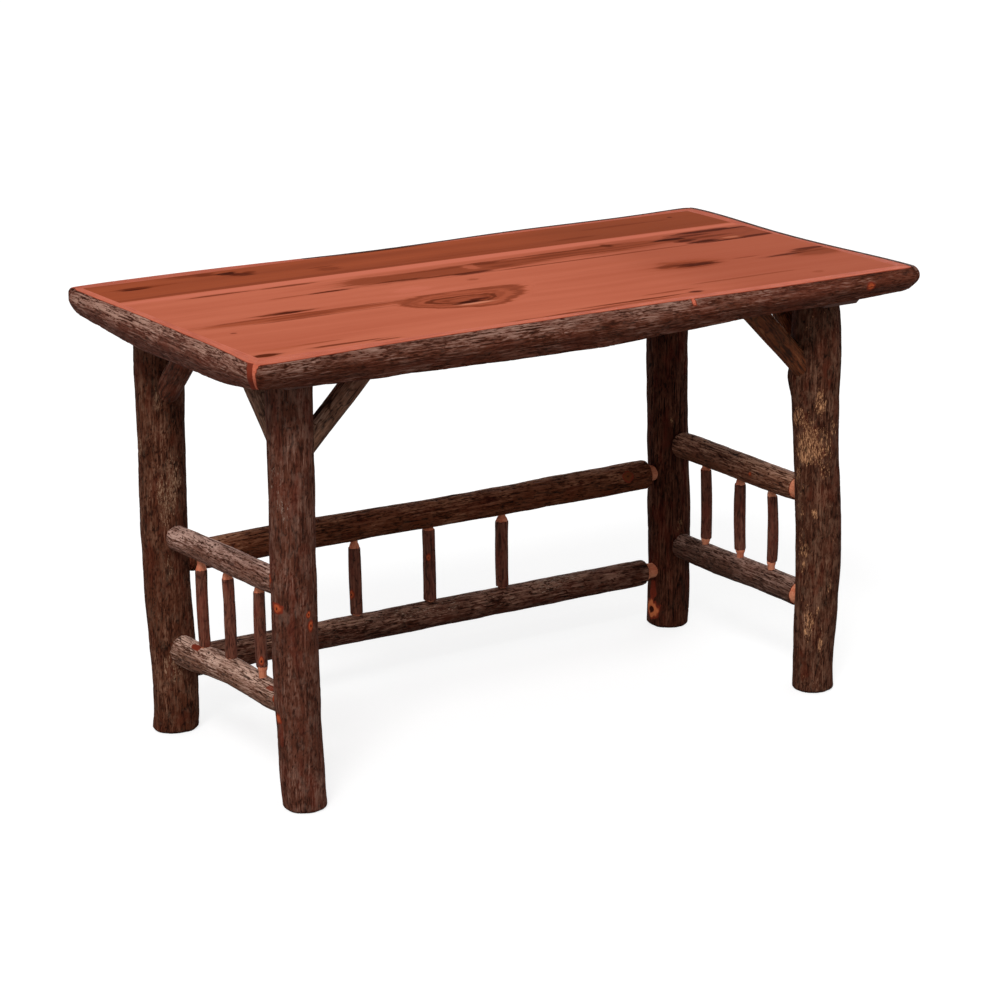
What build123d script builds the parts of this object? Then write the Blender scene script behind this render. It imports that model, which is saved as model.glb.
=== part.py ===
"""Hickory log table: a plank top edged with half logs on four log legs.

Millimetres, Z up. The origin is on the floor, under the middle of the plank panel.
X runs along the table, the back of the table is at +Y.
"""

import os
from math import cos, pi, sin, sqrt

from build123d import *

# ---- the top ---------------------------------------------------------------
table_height = 762
panel_length = 1240
plank_thickness = 22
plank_widths = (132, 129, 93, 132, 111)  # from the back plank to the front plank
trim_overrun = 40  # a half log is drawn this far past the panel before it is mitred
corner_radius = 32
corner_slack = 5  # the rounding touches planes this far outside the bulges at a corner

# ---- the legs --------------------------------------------------------------
leg_inset_x = 99.3  # from the ends of the panel to the middle of a foot
leg_inset_y = 79.1
legs_forward = 9.5  # the middle of the four feet lies this far in front of the panel's
foot_chamfer = 4
cleat_width = 72
cleat_thickness = 38
cleat_end_gap = 5
cleat_chamfer = 14
leg_tenon_diameter = 38
leg_tenon_length = 30

# ---- rails, spindles and braces --------------------------------------------
rail_tenon_diameter = 28
rail_tenon_past_centre = 8  # how far a tenon reaches beyond the middle of its leg
rail_shave = 10  # length of the bare cone between the bark and the tenon
spindle_tenon_diameter = 13
spindle_shave = 9
spindle_stop = 2  # a spindle's tenon ends this far short of the middle of its rail
brace_seat = 5  # depth of the flat housing in the leg that a brace stands in
brace_tenon_diameter = 20
brace_tenon_length = 22

# ---- fasteners -------------------------------------------------------------
screw_diameter = 4.5
screw_head_diameter = 9
screw_head_height = 3
screw_recess = 6  # how deep a screw's head lies below the surface that it enters
screw_bite = 15  # how far a screw reaches into the piece that it holds
brace_screw_inset = 6  # from where a brace's axis meets the top to its screw
cleat_screw_stagger = 24
dowel_diameter = 10
dowel_in_plank = 24
dowel_in_trim = 12
dowel_spacing = 420

# ---- fits ------------------------------------------------------------------
tenon_clearance = 0.3
socket_end_gap = 0.6
housing_clearance = 0.5
screw_clearance = 0.2

# ---- tools for cutting -----------------------------------------------------
bore_run = 90  # from the bottom of a socket to well past any bark

# ---- the shape of bark -----------------------------------------------------
outline_points = 8
bark_lobe = 0.022  # how far a log's outline leaves a circle, as a share of its radius
three_lobe_share = 0.6  # the three-lobed wave against the two-lobed one
shaved_share = 0.88  # the wide end of a shaved cone, as a share of the log's diameter
outline_drift = 0.35  # how far the lobes turn from one station to the next, in radians
lobe_reach = 1 + three_lobe_share

panel_depth = sum(plank_widths)
leg_spacing_x = panel_length - 2 * leg_inset_x
leg_spacing_y = panel_depth - 2 * leg_inset_y
panel_front = -panel_depth / 2
panel_back = panel_depth / 2
plank_underside = table_height - plank_thickness
cleat_underside = plank_underside - cleat_thickness

up = Vector(0, 0, 1)
standing = (Align.CENTER, Align.CENTER, Align.MIN)


class Log:
    """The middle line of a log with the bends and diameters along it.

    A station is (share of the length, bend sideways, bend upwards, diameter).
    """

    def __init__(self, start, end, stations, turn, side=None):
        self.start = Vector(*start)
        self.end = Vector(*end)
        self.stations = stations
        self.turn = turn
        self.axis = (self.end - self.start).normalized()
        self.length = (self.end - self.start).length
        self.side = side or up.cross(self.axis)

    def plane(self, along):
        """The plane square to the straight middle line, this far from its start."""
        return Plane(self.start + self.axis * along, x_dir=self.side, z_dir=self.axis)

    def between_stations(self, share, column):
        """A bend or the diameter at a share of the length, drawn straight between stations."""
        for low, high in zip(self.stations, self.stations[1:]):
            if share <= high[0]:
                break
        part = (share - low[0]) / (high[0] - low[0])
        return low[column] + (high[column] - low[column]) * part

    def centre(self, share):
        """The middle of the bent log at a share of its length."""
        plane = self.plane(share * self.length)
        bend = (self.between_stations(share, 1), self.between_stations(share, 2), 0)
        return plane.from_local_coords(Vector(*bend))

    def diameter(self, share):
        return self.between_stations(share, 3)

    def bark(self, begin, end):
        """The log's outlines from begin to end: each plane with its corner points."""
        inner = [s[0] for s in self.stations if begin < s[0] * self.length < end]
        shares = [begin / self.length, *inner, end / self.length]
        found = []
        for index, share in enumerate(shares):
            bends = (self.between_stations(share, 1), self.between_stations(share, 2))
            turn = self.turn + outline_drift * index
            points = outline(self.diameter(share), *bends, turn)
            found.append((self.plane(share * self.length), points))
        return found


def outline(diameter, bend_x, bend_y, turn):
    """Points round a bark outline: a circle with two and three shallow lobes."""
    points = []
    for step in range(outline_points):
        angle = 2 * pi * step / outline_points
        lobes = sin(2 * angle + turn) + three_lobe_share * sin(3 * angle + 2 * turn)
        reach = diameter / 2 * (1 + bark_lobe * lobes)
        points.append((bend_x + reach * cos(angle), bend_y + reach * sin(angle)))
    return points


# ---- where the logs lie ----------------------------------------------------
# A leg's stations: (share of its height, lean along X, lean along Y, diameter).
leg_stations = {
    "front_left": [
        (0, 3, -2, 72),
        (0.2, -3, 2, 73),
        (0.45, -7, 4, 74),
        (0.75, -8, 5, 73),
        (1, -9, 6, 74),
    ],
    "front_right": [
        (0, 0, 0, 74),
        (0.2, 1, 0, 75),
        (0.4, 1, -1, 78),
        (0.6, -5, 3, 77),
        (0.77, -9, 6, 82),
        (1, -12, 7, 76),
    ],
    "back_left": [
        (0, 1, 0, 76),
        (0.3, -3, 2, 77),
        (0.57, -7, 4, 77),
        (0.77, -7, 4, 80),
        (0.88, -7, 5, 83),
        (1, -6, 4, 82),
    ],
    "back_right": [
        (0, 1, -1, 75),
        (0.34, 1, -1, 77),
        (0.56, -3, 2, 76),
        (1, -2, 2, 77),
    ],
}
leg_logs = {}
for corner, stations in leg_stations.items():
    foot_x = leg_spacing_x / 2 * (1 if "right" in corner else -1)
    foot_y = leg_spacing_y / 2 * (1 if "back" in corner else -1) - legs_forward
    leg_logs[corner] = Log(
        (foot_x, foot_y, 0),
        (foot_x, foot_y, cleat_underside),
        stations,
        turn=len(leg_logs),
        side=Vector(1, 0, 0),
    )

# A rail: first leg, second leg, height at each, and its bends and diameters.
rail_plans = {
    "left_upper_rail": (
        "front_left", "back_left", 364, 348,
        [(0, 0, 0, 42), (0.3, 1, 1, 44), (0.7, -1, 0, 43), (1, 0, 0, 42)],
    ),
    "left_lower_rail": (
        "front_left", "back_left", 167, 149,
        [(0, 0, 0, 44), (0.3, 1, 4, 44), (0.5, 0, 7, 45), (0.78, -1, 0, 49), (1, 0, 0, 52)],
    ),
    "right_upper_rail": (
        "front_right", "back_right", 356, 356,
        [(0, 0, 0, 46), (0.3, 1, 0, 49), (0.7, 0, 1, 49), (1, 0, 0, 49)],
    ),
    "right_lower_rail": (
        "front_right", "back_right", 162, 163,
        [(0, 0, 0, 46), (0.35, 1, 1, 47), (0.65, 0, -2, 47), (1, 0, -1, 45)],
    ),
    "back_upper_rail": (
        "back_left", "back_right", 297, 298,
        [(0, 0, 0, 48), (0.25, 2, 3, 52), (0.5, 0, 1, 51), (0.75, -2, 1, 53), (1, 0, 0, 54)],
    ),
    "back_lower_rail": (
        "back_left", "back_right", 112, 109,
        [(0, 0, 0, 57), (0.3, -2, 2, 50), (0.55, 1, 0, 50), (0.8, 1, 0, 49), (1, 0, 0, 47)],
    ),
}
# Bare tenon left showing between the shaved cone and each leg.
rail_necks = {"back_upper_rail": (2, 7), "back_lower_rail": (2, 12)}
plain_necks = (2, 2)

# A spindle: lower rail, upper rail, place between the legs as a share, diameter,
# bend at mid height, and the bare tenon showing at its foot and its head.
spindle_plans = {
    "left_spindle_1": ("left_lower_rail", "left_upper_rail", 0.257, 21, 1, 9, 0),
    "left_spindle_2": ("left_lower_rail", "left_upper_rail", 0.505, 20, -1, 0, 2),
    "left_spindle_3": ("left_lower_rail", "left_upper_rail", 0.716, 21, 1, 1, 8),
    "right_spindle_1": ("right_lower_rail", "right_upper_rail", 0.288, 20, -2, 6, 0),
    "right_spindle_2": ("right_lower_rail", "right_upper_rail", 0.496, 21, 1, 7, 0),
    "right_spindle_3": ("right_lower_rail", "right_upper_rail", 0.735, 21, -1, 3, 2),
    "back_spindle_1": ("back_lower_rail", "back_upper_rail", 0.350, 23, -1, 0, 5),
    "back_spindle_2": ("back_lower_rail", "back_upper_rail", 0.496, 24, 1, 0, 0),
    "back_spindle_3": ("back_lower_rail", "back_upper_rail", 0.6445, 25, -3, 0, 4),
}

# A brace: its leg, the way that it leans out, what it reaches, how far below that its
# middle line meets the leg, and its diameter. All braces rise at 45 degrees.
brace_plans = {
    "front_left_long_brace": ("front_left", (1, 0, 0), plank_underside, 136, 38),
    "front_right_long_brace": ("front_right", (-1, 0, 0), plank_underside, 140, 40),
    "front_left_end_brace": ("front_left", (0, 1, 0), cleat_underside, 95, 41),
    "front_right_end_brace": ("front_right", (0, 1, 0), cleat_underside, 90, 38),
    "back_left_end_brace": ("back_left", (0, -1, 0), cleat_underside, 89, 42),
    "back_right_end_brace": ("back_right", (0, -1, 0), cleat_underside, 90, 38),
}

# A half log of the edge is (flat width on top, bulge beyond the panel, depth), first at
# the table's corners, then at shares of the side that it lies along.
trim_corners = {
    "front_left": (27, 33, 44),
    "front_right": (26, 33, 42),
    "back_left": (13, 21, 40),
    "back_right": (26, 34, 42),
}
trim_stations = {
    "front": [(0.05, 31, 35, 49), (0.16, 21, 33, 54), (0.33, 16, 32, 58), (0.5, 13, 31, 60),
              (0.63, 15, 32, 54), (0.72, 19, 34, 49), (0.93, 20, 34, 45)],
    "back": [(0.03, 24, 29, 44), (0.2, 24, 32, 50), (0.3, 18, 29, 53), (0.48, 9, 28, 56),
             (0.6, 16, 28, 55), (0.8, 21, 31, 51), (0.94, 23, 33, 44)],
    "left": [(0.06, 21, 32, 50), (0.2, 16, 31, 56), (0.5, 13, 29, 57), (0.71, 12, 28, 55),
             (0.85, 13, 27, 48), (0.94, 13, 25, 45)],
    "right": [(0.06, 28, 35, 43), (0.3, 20, 33, 46), (0.6, 18, 32, 50), (0.9, 31, 37, 44)],
}
trim_ends = {
    "front": ("front_left", "front_right"),
    "back": ("back_left", "back_right"),
    "left": ("front_left", "back_left"),
    "right": ("front_right", "back_right"),
}


def leg_point(corner, height):
    """The middle of a leg at a height above the floor."""
    leg = leg_logs[corner]
    return leg.centre(height / leg.length)


def leg_radius(corner, height):
    leg = leg_logs[corner]
    return leg.diameter(height / leg.length) / 2


def rail_log(name):
    """A rail's middle line, from the middle of one leg to the middle of the next."""
    first, second, first_height, second_height, stations = rail_plans[name]
    start = leg_point(first, first_height)
    end = leg_point(second, second_height)
    return Log(start, end, stations, turn=first_height / 50)


def rail_bark(name):
    """How far along its middle line a rail's bark begins and ends."""
    first, second, first_height, second_height, _ = rail_plans[name]
    first_neck, second_neck = rail_necks.get(name, plain_necks)
    begin = leg_radius(first, first_height) + first_neck + rail_shave
    end = leg_radius(second, second_height) + second_neck + rail_shave
    return begin, rail_log(name).length - end


def spindle_log(name):
    """A spindle's middle line, from the middle of its lower rail to that of its upper one."""
    lower, upper, share, diameter, bow, _, _ = spindle_plans[name]
    start = rail_log(lower).centre(share)
    end = rail_log(upper).centre(share)
    stations = [(0, 0, 0, diameter - 1), (0.5, bow, bow, diameter), (1, 0, 0, diameter - 1)]
    return Log(start, end, stations, turn=10 * share, side=rail_log(lower).axis)


def brace_foot(name):
    """Where a brace's middle line meets the flat housing in its leg."""
    corner, outward, reach, drop, _ = brace_plans[name]
    height = reach - drop
    depth_in = leg_radius(corner, height) - brace_seat
    return leg_point(corner, height) + Vector(*outward) * depth_in - up * brace_seat


def brace_log(name):
    """A brace's middle line, from inside its leg to above what it reaches."""
    _, outward, reach, drop, diameter = brace_plans[name]
    slope = Vector(*outward) + up
    foot = brace_foot(name)
    start = foot - slope * diameter
    end = foot + slope * (reach - foot.Z + diameter)
    stations = [(0, 0, 0, diameter), (0.5, 0, 0, diameter), (1, 0, 0, diameter)]
    return Log(start, end, stations, turn=drop / 9)


def brace_tenon_plane(name):
    """The end of a brace's tenon inside the leg, looking up along the brace."""
    log = brace_log(name)
    return Plane(brace_foot(name) - log.axis * brace_tenon_length, z_dir=log.axis)


def brace_screw_plane(name):
    """Where the screw of a brace enters it from below, looking up."""
    _, outward, reach, _, diameter = brace_plans[name]
    foot = brace_foot(name)
    spot = foot + Vector(*outward) * (reach - foot.Z + brace_screw_inset)
    surface = reach + brace_screw_inset - diameter / 2 * sqrt(2)
    return Plane((spot.X, spot.Y, surface), z_dir=up)


def brace_screw_planes(reach):
    """The screws of all braces that reach one height."""
    return [brace_screw_plane(name) for name in brace_plans if brace_plans[name][2] == reach]


cleat_x = {}
for side in ("left", "right"):
    tops = [leg_point(f"{place}_{side}", cleat_underside).X for place in ("front", "back")]
    cleat_x[side] = sum(tops) / 2


def plank_edges():
    """The Y of each plank's back edge, then of the last plank's front edge."""
    edges = [panel_back]
    for width in plank_widths:
        edges.append(edges[-1] - width)
    return edges


def cleat_screw_planes(side):
    """One screw up through the cleat into every plank, staggered about its middle."""
    planes = []
    edges = plank_edges()
    for index, (back, front) in enumerate(zip(edges, edges[1:])):
        shift = cleat_screw_stagger * (1 if index % 2 else -1)
        spot = (cleat_x[side] + shift, (back + front) / 2, cleat_underside)
        planes.append(Plane(spot, z_dir=up))
    return planes


def dowel_planes(side):
    """Where each dowel crosses from the panel's edge into one half log, looking outwards."""
    height = table_height - plank_thickness / 2
    along_x = side in ("front", "back")
    length = panel_length if along_x else panel_depth
    count = int(length // dowel_spacing) + 1
    planes = []
    for index in range(count):
        place = (index - (count - 1) / 2) * dowel_spacing
        if side == "front":
            planes.append(Plane((place, panel_front, height), z_dir=(0, -1, 0)))
        elif side == "back":
            planes.append(Plane((place, panel_back, height), z_dir=(0, 1, 0)))
        elif side == "left":
            planes.append(Plane((-panel_length / 2, place, height), z_dir=(-1, 0, 0)))
        else:
            planes.append(Plane((panel_length / 2, place, height), z_dir=(1, 0, 0)))
    return planes


# ---- holes that more than one piece needs ----------------------------------
def socket(log, far_end, diameter, depth_from_centre):
    """A plane at the bottom of a tenon's socket, looking along the log, and the bore radius.

    depth_from_centre is how far past the log's end the tenon reaches.
    """
    bottom = depth_from_centre + socket_end_gap
    if far_end:
        plane = Plane(log.end + log.axis * bottom, x_dir=log.side, z_dir=-log.axis)
    else:
        plane = Plane(log.start - log.axis * bottom, x_dir=log.side, z_dir=log.axis)
    return plane, diameter / 2 + tenon_clearance


def leg_sockets(corner):
    """The sockets of all rails that end in a leg."""
    found = []
    for name, (first, second, *_) in rail_plans.items():
        if corner in (first, second):
            log = rail_log(name)
            far_end = corner == second
            found.append(socket(log, far_end, rail_tenon_diameter, rail_tenon_past_centre))
    return found


def rail_sockets(name):
    """The sockets of the spindles that stand on or hang from a rail."""
    found = []
    for spindle, (lower, upper, *_) in spindle_plans.items():
        if name in (lower, upper):
            log = spindle_log(spindle)
            far_end = name == upper
            found.append(socket(log, far_end, spindle_tenon_diameter, -spindle_stop))
    return found


# ---- the pieces ------------------------------------------------------------
def make_plank(index):
    """One plank of the panel, with bores for cleat screws, brace screws and dowels."""
    edges = plank_edges()
    back, front = edges[index], edges[index + 1]
    with BuildPart() as plank:
        with BuildSketch(Plane.XY.offset(plank_underside)):
            with Locations((0, (back + front) / 2)):
                Rectangle(panel_length, back - front)
        extrude(amount=plank_thickness)
        screw_planes = brace_screw_planes(plank_underside)
        screw_planes += cleat_screw_planes("left") + cleat_screw_planes("right")
        for plane in screw_planes:
            if front < plane.origin.Y < back:
                spot = (plane.origin.X, plane.origin.Y)
                with BuildSketch(Plane.XY.offset(plank_underside)):
                    with Locations(spot):
                        Circle(screw_diameter / 2 + screw_clearance)
                extrude(amount=screw_bite + socket_end_gap, mode=Mode.SUBTRACT)
        for side in ("front", "back", "left", "right"):
            for plane in dowel_planes(side):
                if front - 1 < plane.origin.Y < back + 1:
                    with BuildSketch(plane):
                        Circle(dowel_diameter / 2 + tenon_clearance)
                    extrude(amount=-dowel_in_plank - socket_end_gap, mode=Mode.SUBTRACT)
    return plank.part


def make_trim(side):
    """A half log along one side of the panel: sawn flat inside, planed flush on top,
    bark outside, mitred at both ends and rounded at the table's corners."""
    along_x = side in ("front", "back")
    length = panel_length if along_x else panel_depth
    outward = {"front": (0, -1, 0), "back": (0, 1, 0), "left": (-1, 0, 0), "right": (1, 0, 0)}[side]
    outward = Vector(*outward)
    along = Vector(1, 0, 0) if along_x else Vector(0, 1, 0)
    middle = up * table_height
    middle += outward * (panel_depth / 2 if along_x else panel_length / 2)
    first, last = trim_ends[side]
    past = trim_overrun / length
    stations = [(-past, *trim_corners[first]), *trim_stations[side]]
    stations.append((1 + past, *trim_corners[last]))
    with BuildPart() as trim:
        for share, flat, bulge, depth in stations:
            origin = middle + along * ((share - 0.5) * length)
            with BuildSketch(Plane(origin, x_dir=outward, z_dir=outward.cross(up))):
                with BuildLine():
                    Line((0, -depth), (0, 0))
                    Line((0, 0), (flat, 0))
                    Spline(
                        (flat, 0),
                        (bulge, -0.46 * depth),
                        (0.62 * bulge, -0.88 * depth),
                        (0, -depth),
                        tangents=((0.7, -0.7), (-1, 0)),
                    )
                make_face()
        loft()
        for end in (-1, 1):
            corner = middle + along * (end * length / 2)
            split(bisect_by=Plane(corner, z_dir=along * end - outward), keep=Keep.BOTTOM)
        for corner in trim_ends[side]:
            right, back = "right" in corner, "back" in corner
            inset = trim_corners[corner][1] + corner_slack - corner_radius
            spot_x = panel_length / 2 + inset
            spot_y = panel_depth / 2 + inset
            spot = (spot_x if right else -spot_x, spot_y if back else -spot_y)
            toward = (Align.MIN if right else Align.MAX, Align.MIN if back else Align.MAX)
            with BuildSketch(Plane.XY.offset(table_height)):
                with Locations(spot):
                    Rectangle(2 * corner_radius, 2 * corner_radius, align=toward)
                    Circle(corner_radius, mode=Mode.SUBTRACT)
            extrude(amount=-table_height, mode=Mode.SUBTRACT)
        for plane in dowel_planes(side):
            with BuildSketch(plane):
                Circle(dowel_diameter / 2 + tenon_clearance)
            extrude(amount=dowel_in_trim + socket_end_gap, mode=Mode.SUBTRACT)
    return trim.part


def make_cleat(side):
    """A batten across the planks that ties them and carries the tops of two legs."""
    length = panel_depth - 2 * cleat_end_gap
    with BuildPart() as cleat:
        with BuildSketch(Plane.XY.offset(cleat_underside)):
            with Locations((cleat_x[side], 0)):
                Rectangle(cleat_width, length)
        extrude(amount=cleat_thickness)
        ends = cleat.edges().filter_by(Axis.X).group_by(Axis.Z)[0]
        chamfer(ends, cleat_chamfer)
        for place in ("front", "back"):
            top = leg_point(f"{place}_{side}", cleat_underside)
            with BuildSketch(Plane.XY.offset(cleat_underside)):
                with Locations((top.X, top.Y)):
                    Circle(leg_tenon_diameter / 2 + tenon_clearance)
            extrude(amount=leg_tenon_length + socket_end_gap, mode=Mode.SUBTRACT)
        with Locations(*[Plane(p.origin, z_dir=-up) for p in cleat_screw_planes(side)]):
            CounterBoreHole(
                screw_diameter / 2 + screw_clearance,
                screw_head_diameter / 2 + screw_clearance,
                screw_recess + screw_head_height,
                depth=cleat_thickness,
            )
        for plane in brace_screw_planes(cleat_underside):
            if abs(plane.origin.X - cleat_x[side]) < cleat_width / 2:
                with BuildSketch(Plane.XY.offset(cleat_underside)):
                    with Locations((plane.origin.X, plane.origin.Y)):
                        Circle(screw_diameter / 2 + screw_clearance)
                extrude(amount=screw_bite + socket_end_gap, mode=Mode.SUBTRACT)
    return cleat.part


def make_leg(corner):
    """A leg log with its top tenon, the rails' mortises and the braces' housings."""
    log = leg_logs[corner]
    with BuildPart() as leg:
        for plane, points in log.bark(0, log.length):
            with BuildSketch(plane):
                with BuildLine():
                    Spline(*points, periodic=True)
                make_face()
        loft()
        chamfer(leg.edges().group_by(Axis.Z)[0], foot_chamfer)
        with Locations(log.centre(1)):
            Cylinder(leg_tenon_diameter / 2, leg_tenon_length, align=standing)
        for plane, radius in leg_sockets(corner):
            with BuildSketch(plane):
                Circle(radius)
            extrude(amount=bore_run, mode=Mode.SUBTRACT)
        for name, (brace_corner, outward, _, _, diameter) in brace_plans.items():
            if brace_corner == corner:
                widest = diameter / 2 * (1 + lobe_reach * bark_lobe) + housing_clearance
                with BuildSketch(Plane(brace_foot(name), x_dir=brace_log(name).side, z_dir=outward)):
                    Ellipse(widest, widest * sqrt(2))
                extrude(amount=bore_run, dir=brace_log(name).axis, mode=Mode.SUBTRACT)
                with BuildSketch(brace_tenon_plane(name).offset(-socket_end_gap)):
                    Circle(brace_tenon_diameter / 2 + tenon_clearance)
                extrude(amount=bore_run, mode=Mode.SUBTRACT)
    return leg.part


def make_tenoned_log(log, begin, end, shave, tenon_diameter, past_end, sockets):
    """A round with bark from begin to end, and at each end a shaved cone and a tenon.

    past_end is how far the tenons reach beyond the ends of the log's middle line.
    """
    with BuildPart() as piece:
        for plane, points in log.bark(begin, end):
            with BuildSketch(plane):
                with BuildLine():
                    Spline(*points, periodic=True)
                make_face()
        loft()
        for along, outward in ((begin, -1), (end, 1)):
            to_end = begin if outward < 0 else log.length - end
            shoulder = Plane(log.plane(along).origin, x_dir=log.side, z_dir=log.axis * outward)
            bare_radius = shaved_share * log.diameter(along / log.length) / 2
            with BuildSketch(shoulder):
                Circle(bare_radius)
            with BuildSketch(shoulder.offset(shave)):
                Circle(tenon_diameter / 2)
            loft()
            with Locations(shoulder.offset(shave)):
                Cylinder(tenon_diameter / 2, to_end - shave + past_end, align=standing)
        for plane, radius in sockets:
            with BuildSketch(plane):
                Circle(radius)
            extrude(amount=bore_run, mode=Mode.SUBTRACT)
    return piece.part


def make_rail(name):
    begin, end = rail_bark(name)
    sizes = (rail_shave, rail_tenon_diameter, rail_tenon_past_centre)
    return make_tenoned_log(rail_log(name), begin, end, *sizes, rail_sockets(name))


def make_spindle(name):
    lower, upper, share, _, _, foot_neck, head_neck = spindle_plans[name]
    log = spindle_log(name)
    begin = rail_log(lower).diameter(share) / 2 + foot_neck + spindle_shave
    end = rail_log(upper).diameter(share) / 2 + head_neck + spindle_shave
    sizes = (spindle_shave, spindle_tenon_diameter, -spindle_stop)
    return make_tenoned_log(log, begin, log.length - end, *sizes, [])


def make_brace(name):
    """A brace at 45 degrees: a flat foot with a round tenon, a flat top, a screw's bore."""
    _, outward, reach, _, _ = brace_plans[name]
    log = brace_log(name)
    screw = brace_screw_plane(name)
    with BuildPart() as brace:
        for plane, points in log.bark(0, log.length):
            with BuildSketch(plane):
                with BuildLine():
                    Spline(*points, periodic=True)
                make_face()
        loft()
        split(bisect_by=Plane(brace_foot(name), z_dir=outward), keep=Keep.TOP)
        split(bisect_by=Plane.XY.offset(reach), keep=Keep.BOTTOM)
        with BuildSketch(brace_tenon_plane(name)):
            Circle(brace_tenon_diameter / 2)
        extrude(amount=brace_tenon_length + brace_tenon_diameter)
        with BuildSketch(screw.offset(screw_recess + screw_head_height)):
            Circle(screw_head_diameter / 2 + screw_clearance)
        extrude(amount=-bore_run / 2, mode=Mode.SUBTRACT)
        with BuildSketch(screw):
            Circle(screw_diameter / 2 + screw_clearance)
        extrude(amount=bore_run / 2, mode=Mode.SUBTRACT)
    return brace.part


def make_screws(planes):
    """Pan head screws, each with the height that its plane enters at and the one it ends at."""
    with BuildPart() as screws:
        for plane, end in planes:
            seat = plane.offset(screw_recess + screw_head_height)
            with Locations(plane.offset(screw_recess)):
                Cylinder(screw_head_diameter / 2, screw_head_height, align=standing)
            with Locations(seat):
                Cylinder(screw_diameter / 2, end - seat.origin.Z, align=standing)
    return screws.part


def make_dowels():
    with BuildPart() as dowels:
        for side in trim_stations:
            with Locations(*[plane.offset(-dowel_in_plank) for plane in dowel_planes(side)]):
                Cylinder(dowel_diameter / 2, dowel_in_plank + dowel_in_trim, align=standing)
    return dowels.part


brace_screws = []
for reach in (plank_underside, cleat_underside):
    brace_screws += [(plane, reach + screw_bite) for plane in brace_screw_planes(reach)]
cleat_screws = []
for side in ("left", "right"):
    cleat_screws += [(plane, plank_underside + screw_bite) for plane in cleat_screw_planes(side)]

pieces = {}
for index in range(len(plank_widths)):
    pieces[f"plank_{index + 1}"] = make_plank(index)
for side in trim_stations:
    pieces[f"{side}_half_log"] = make_trim(side)
for side in ("left", "right"):
    pieces[f"{side}_cleat"] = make_cleat(side)
for corner in leg_stations:
    pieces[f"{corner}_leg"] = make_leg(corner)
for name in rail_plans:
    pieces[name] = make_rail(name)
for name in spindle_plans:
    pieces[name] = make_spindle(name)
for name in brace_plans:
    pieces[name] = make_brace(name)
pieces["brace_screws"] = make_screws(brace_screws)
pieces["cleat_screws"] = make_screws(cleat_screws)
pieces["trim_dowels"] = make_dowels()

os.makedirs("parts", exist_ok=True)
for name, piece in pieces.items():
    piece.label = name
    export_step(piece, f"parts/{name}.step")
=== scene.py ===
import math

import bpy
import numpy as np
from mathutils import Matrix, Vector
from mathutils.bvhtree import BVHTree


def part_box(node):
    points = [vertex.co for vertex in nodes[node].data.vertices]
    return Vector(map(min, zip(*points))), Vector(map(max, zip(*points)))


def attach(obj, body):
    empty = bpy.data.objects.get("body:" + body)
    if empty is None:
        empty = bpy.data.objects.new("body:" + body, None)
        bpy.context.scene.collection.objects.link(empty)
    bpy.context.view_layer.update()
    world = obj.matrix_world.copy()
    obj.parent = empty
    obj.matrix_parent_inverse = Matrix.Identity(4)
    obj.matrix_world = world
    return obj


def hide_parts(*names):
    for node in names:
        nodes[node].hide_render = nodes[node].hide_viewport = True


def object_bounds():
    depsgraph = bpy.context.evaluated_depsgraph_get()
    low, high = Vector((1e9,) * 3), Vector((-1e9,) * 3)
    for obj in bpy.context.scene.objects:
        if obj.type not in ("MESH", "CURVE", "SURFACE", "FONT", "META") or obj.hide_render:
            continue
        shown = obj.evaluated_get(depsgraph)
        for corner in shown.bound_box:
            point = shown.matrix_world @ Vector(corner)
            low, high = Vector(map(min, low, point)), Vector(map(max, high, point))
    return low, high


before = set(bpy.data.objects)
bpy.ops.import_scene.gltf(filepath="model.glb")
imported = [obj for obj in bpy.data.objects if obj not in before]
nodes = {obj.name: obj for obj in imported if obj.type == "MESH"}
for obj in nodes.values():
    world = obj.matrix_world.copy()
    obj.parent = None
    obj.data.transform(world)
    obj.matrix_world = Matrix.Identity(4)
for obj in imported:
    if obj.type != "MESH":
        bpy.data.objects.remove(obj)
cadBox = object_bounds()
fullTurn = 2 * math.pi
print("frame loaded:", len(nodes), "nodes")


# ---- numbers and noise ----

def paint(red, green, blue):
    # an 0-255 screen colour as the linear colour that the sockets want
    linear = []
    for value in (red, green, blue):
        share = value / 255
        linear.append(share / 12.92 if share < 0.04045 else ((share + 0.055) / 1.055) ** 2.4)
    return (*linear, 1)


def latticeValue(cells, seed):
    # one repeatable number, -1 to 1, for each whole-numbered cell
    mixed = cells[:, 0] * 73856093 ^ cells[:, 1] * 19349663 ^ cells[:, 2] * 83492791
    mixed = (mixed ^ (seed * 2654435761)) & 0xFFFFFFFF
    mixed = ((mixed ^ (mixed >> 15)) * 2246822519) & 0xFFFFFFFF
    mixed = ((mixed ^ (mixed >> 13)) * 3266489917) & 0xFFFFFFFF
    return ((mixed ^ (mixed >> 16)) & 0xFFFF) / 32767.5 - 1


def softNoise(points, seed):
    floor = np.floor(points)
    cells = floor.astype(np.int64)
    part = points - floor
    ease = part * part * (3 - 2 * part)
    total = np.zeros(len(points))
    for corner in np.ndindex(2, 2, 2):
        weight = np.ones(len(points))
        for axis in range(3):
            weight *= ease[:, axis] if corner[axis] else 1 - ease[:, axis]
        total += weight * latticeValue(cells + np.array(corner), seed)
    return total


def cloud(points, seed, octaves=3):
    total = np.zeros(len(points))
    for octave in range(octaves):
        total += softNoise(points * 2.03 ** octave, seed + 17 * octave) * 0.5 ** octave
    return total


def ramp(low, high, values):
    share = np.clip((values - low) / (high - low), 0, 1)
    return share * share * (3 - 2 * share)


def unit(vector):
    return np.array(vector, float) / np.linalg.norm(vector)

# ---- meshes ----

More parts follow.
